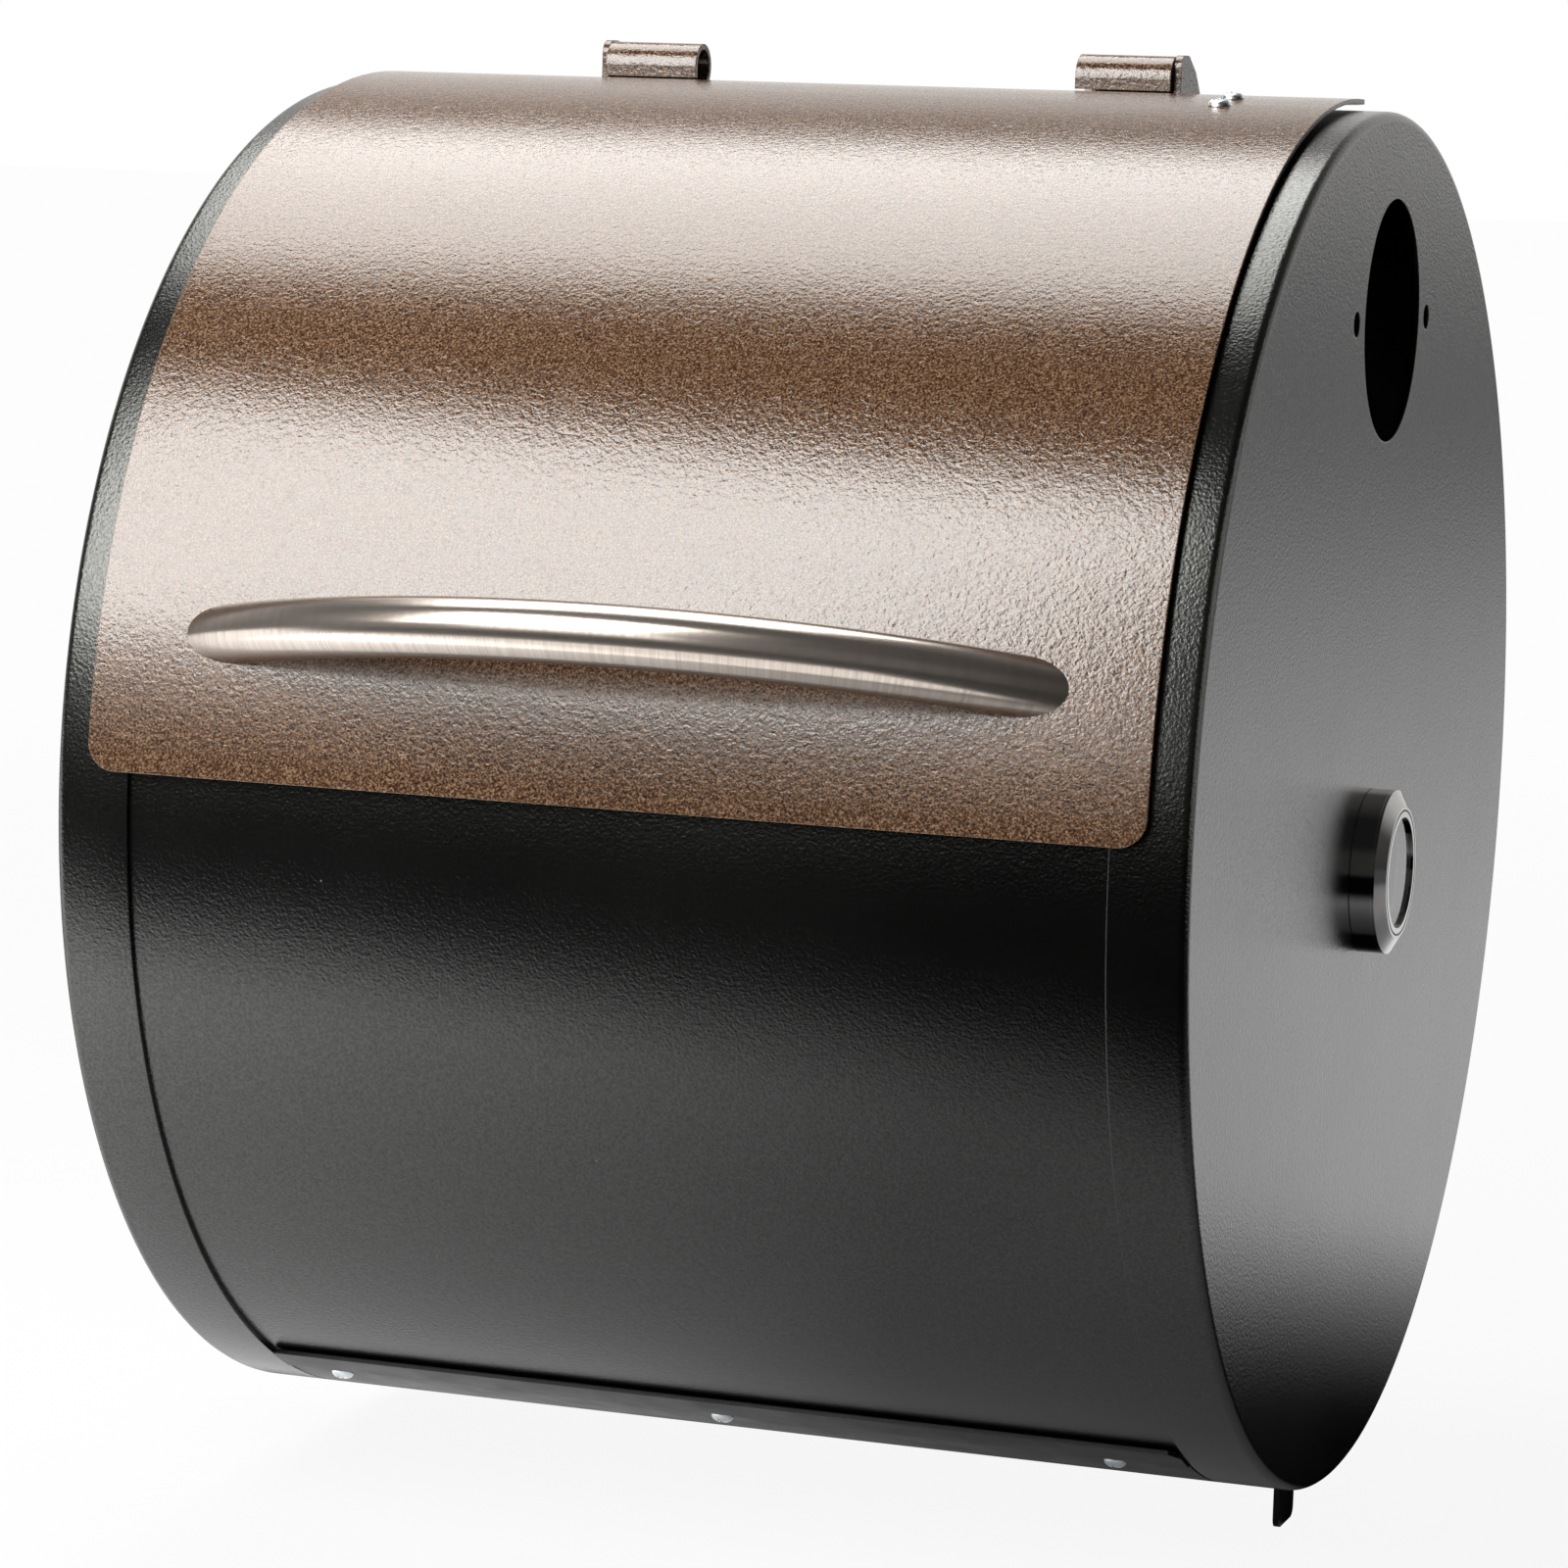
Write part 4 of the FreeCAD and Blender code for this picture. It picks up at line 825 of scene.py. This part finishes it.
def studio_floor():
    """Pale floor, white for the camera. For glossy rays it glows instead of showing its lighting,
    a painted reflection: brighter in front of and behind the grill, dark where it ends in front of
    the grill, as a table would, and dark round a spot at the grill's right and back, a painted
    shadow.
    """
    s = Shader("studio_floor")
    where = s.add("ShaderNodeNewGeometry").outputs["Position"]
    parts = s.add("ShaderNodeSeparateXYZ", Vector=where)
    slant = s.math("SUBTRACT", parts.outputs["Y"], s.math("MULTIPLY", parts.outputs["X"], 0.35))
    ends = s.span(slant, NEAR_EDGE, FAR_EDGE)
    spot = s.add("ShaderNodeVectorMath", {"operation": "DISTANCE"}, Vector=where)
    spot.inputs[1].default_value = (*PAINTED_SHADOW_SPOT, FLOOR_UP)
    shade = s.span(spot.outputs["Value"], 0.38, 0.07)
    dark = s.math("MAXIMUM", ends, shade)
    path = s.add("ShaderNodeLightPath")
    # Painted reflection: for glossy rays the floor glows, brighter in front of the grill and in a
    # band behind it, dimmer towards the right front.
    front = s.span(parts.outputs["X"], -0.35, 0.05, 2.7, 0.8)
    back = s.math("MULTIPLY", s.span(parts.outputs["Y"], 0.1, 0.5, 0.0, 1.0),
                  s.span(parts.outputs["Y"], 1.2, 6.0, 1.0, 0.25))
    front = s.math("MULTIPLY", front, s.span(parts.outputs["Y"], -0.45, -0.08, 1.0, 0.5))
    in_front = s.math("LESS_THAN", parts.outputs["Y"], 0.0)
    painted_reflection = s.math("ADD", s.math("MULTIPLY", front, in_front), back)
    aside = s.math("SUBTRACT", parts.outputs["X"], parts.outputs["Y"])
    painted_reflection = s.math("MULTIPLY", painted_reflection, s.span(aside, 0.5, 1.1, 1.0, 0.1))
    painted_reflection = s.math("MULTIPLY", painted_reflection, s.math("SUBTRACT", 1.0, dark))
    camera_ray = path.outputs["Is Camera Ray"]
    strength = s.math("ADD", s.math("MULTIPLY", camera_ray, CAMERA_WHITE),
                      s.math("MULTIPLY", path.outputs["Is Glossy Ray"], painted_reflection))
    grain = s.noise(60, 3.0)
    pale = s.mix(s.span(grain, 0.3, 0.7), (0.80, 0.80, 0.80), (0.82, 0.82, 0.82))
    s.set(Base_Color=pale, Roughness=0.9)
    s.bsdf.inputs["Specular IOR Level"].default_value = 0.0
    glow = s.add("ShaderNodeEmission", Color=(1.0, 1.0, 1.0), Strength=strength)
    both = s.add("ShaderNodeMixShader")
    near = s.add("ShaderNodeVectorMath", {"operation": "LENGTH"}, Vector=where).outputs["Value"]
    white_out = s.span(near, 0.5, 2.2, 0.93, 1.0)
    lit = s.math("ADD", s.math("MULTIPLY", camera_ray, white_out), path.outputs["Is Glossy Ray"])
    s.put(both.inputs[0], lit)
    s.put(both.inputs[1], s.bsdf.outputs[0])
    s.put(both.inputs[2], glow.outputs[0])
    s.put(s.output.inputs["Surface"], both.outputs[0])
    bm = bmesh.new()
    bmesh.ops.create_grid(bm, x_segments=24, y_segments=24, size=30.0)
    mesh = bpy.data.meshes.new("floor")
    bm.to_mesh(mesh)
    bm.free()
    mesh.materials.append(s.material)
    floor = link(bpy.data.objects.new("floor", mesh))
    floor.location = (0, 0, FLOOR_UP)


def studio_world():
    """White for the camera. In reflections: white behind the lid, dimmer elsewhere."""
    world = bpy.data.worlds.new("studio")
    bpy.context.scene.world = world
    world.use_nodes = True
    tree = world.node_tree

    def ramp(value, low, high, start, end):
        node = tree.nodes.new("ShaderNodeMapRange")
        tree.links.new(value, node.inputs["Value"])
        for key, number in zip(RANGE_SOCKETS, (low, high, start, end)):
            node.inputs[key].default_value = number
        return node.outputs["Result"]

    way = tree.nodes.new("ShaderNodeTexCoord")
    parts = tree.nodes.new("ShaderNodeSeparateXYZ")
    tree.links.new(way.outputs["Generated"], parts.inputs[0])
    behind = ramp(parts.outputs["Y"], -0.1, 0.6, 0.16, 1.0)
    leftward = ramp(parts.outputs["X"], -0.15, 0.15, 1.0, 0.8)
    low = ramp(parts.outputs["Z"], 0.45, 0.62, 1.0, 0.3)
    rightward = ramp(parts.outputs["X"], 0.55, 0.85, 1.0, 0.12)
    strength = behind
    for factor in (leftward, low, rightward):
        both = tree.nodes.new("ShaderNodeMath")
        both.operation = "MULTIPLY"
        tree.links.new(strength, both.inputs[0])
        tree.links.new(factor, both.inputs[1])
        strength = both.outputs[0]
    path = tree.nodes.new("ShaderNodeLightPath")
    pick = tree.nodes.new("ShaderNodeMix")
    tree.links.new(path.outputs["Is Camera Ray"], pick.inputs["Factor"])
    tree.links.new(strength, pick.inputs["A"])
    pick.inputs["B"].default_value = 1.0
    background = tree.nodes["Background"]
    tree.links.new(pick.outputs["Result"], background.inputs["Strength"])
    tint = tree.nodes.new("ShaderNodeMix")
    tint.data_type = "RGBA"
    tree.links.new(path.outputs["Is Camera Ray"], tint.inputs["Factor"])
    tint.inputs[6].default_value = (1.0, 0.985, 0.965, 1.0)
    tint.inputs[7].default_value = (1.0, 1.0, 1.0, 1.0)
    tree.links.new(tint.outputs[2], background.inputs["Color"])


WARM_WHITE = (1.0, 0.99, 0.965)
INSIDE = ("cooking_grate", "drip_tray", "rear_shell", "front_grate_ledge", "rear_grate_ledge",
          "heat_baffle", "tray_crossbars", "temperature_probe", "probe_grommet")


def softbox(name, centre, target, width, height, radiance, only=()):
    """Rectangular light of a given brightness. Places are measured from the axis' middle.

    It lights everything, or only the objects given.
    """
    start = Vector(centre) + Vector((0, 0, AXIS_UP))
    end = Vector(target) + Vector((0, 0, AXIS_UP))
    light = bpy.data.lights.new(name, "AREA")
    light.shape = "RECTANGLE"
    light.size = width
    light.size_y = height
    light.energy = radiance * math.pi * width * height
    light.color = WARM_WHITE
    item = bpy.data.objects.new(name, light)
    item.location = start
    item.rotation_euler = (end - start).to_track_quat("-Z", "Y").to_euler()
    item.visible_camera = False
    link(item)
    if only:
        receivers = bpy.data.collections.new(name + "_receivers")
        for lit in only:
            receivers.objects.link(lit)
        item.light_linking.receiver_collection = receivers


SENSOR_MM, LENS_MM = 36.0, 122.41
CAMERA_RIGHT = Vector((0.943905, 0.328757, 0.031033))
CAMERA_UP = Vector((-0.069836, 0.106887, 0.991816))
CAMERA_PLACE = Vector((0.57428, -1.72939, 0.2203))


def studio_camera():
    """In front of the grill, to its right and a little above its axis."""
    data = bpy.data.cameras.new("camera")
    data.sensor_width = SENSOR_MM
    data.lens = LENS_MM
    data.clip_start = 0.05
    data.clip_end = 100.0
    camera = link(bpy.data.objects.new("camera", data))
    right, up = CAMERA_RIGHT, CAMERA_UP
    back = right.cross(up).normalized()
    up = back.cross(right).normalized()
    turn = Matrix((right.normalized(), up, back)).transposed().to_4x4()
    place = CAMERA_PLACE + Vector((0, 0, AXIS_UP))
    camera.matrix_world = Matrix.Translation(place) @ turn
    bpy.context.scene.camera = camera


studio_floor()
studio_world()
# Name, place, what it points at, width, height, brightness and what it lights.
BARREL_FRONT = (-0.10, -0.20, 0.10)
ABOVE, BELOW = 1.0, 0.0
HANDLE = [NODES["lid_handle"]]
END = [bpy.data.objects["right_end_cap_pressing"]]
END += [NODES["thermometer_dial"], NODES["thermometer_pointer"]]
for light in (
    ("key_softbox", (-0.55, -1.10, 0.82), BARREL_FRONT, 0.85, 0.92, 10.1),
    ("low_softbox", (-0.52, -1.58, 0.38), BARREL_FRONT, 0.85, 0.30, 2.4),
    ("top_softbox", (-0.42, 0.37, 1.30), (-0.42, 0.37, BELOW), 0.95, 1.06, 6.1),
    ("handle_card", (-0.30, -0.64, -0.235), (-0.30, -0.64, ABOVE), 1.2, 0.44, 1.9, HANDLE),
    ("end_card", (2.2, 0.15, 0.5), (0.18, 0.0, -0.05), 2.2, 1.5, 1.2, END),
    ("inside_light", (0.35, -0.75, 1.35), (0.0, 0.0, -0.05), 1.1, 0.9, 9.0,
     [NODES[name] for name in INSIDE]),
):
    softbox(*light)
studio_camera()
bpy.context.scene.view_settings.view_transform = "Standard"
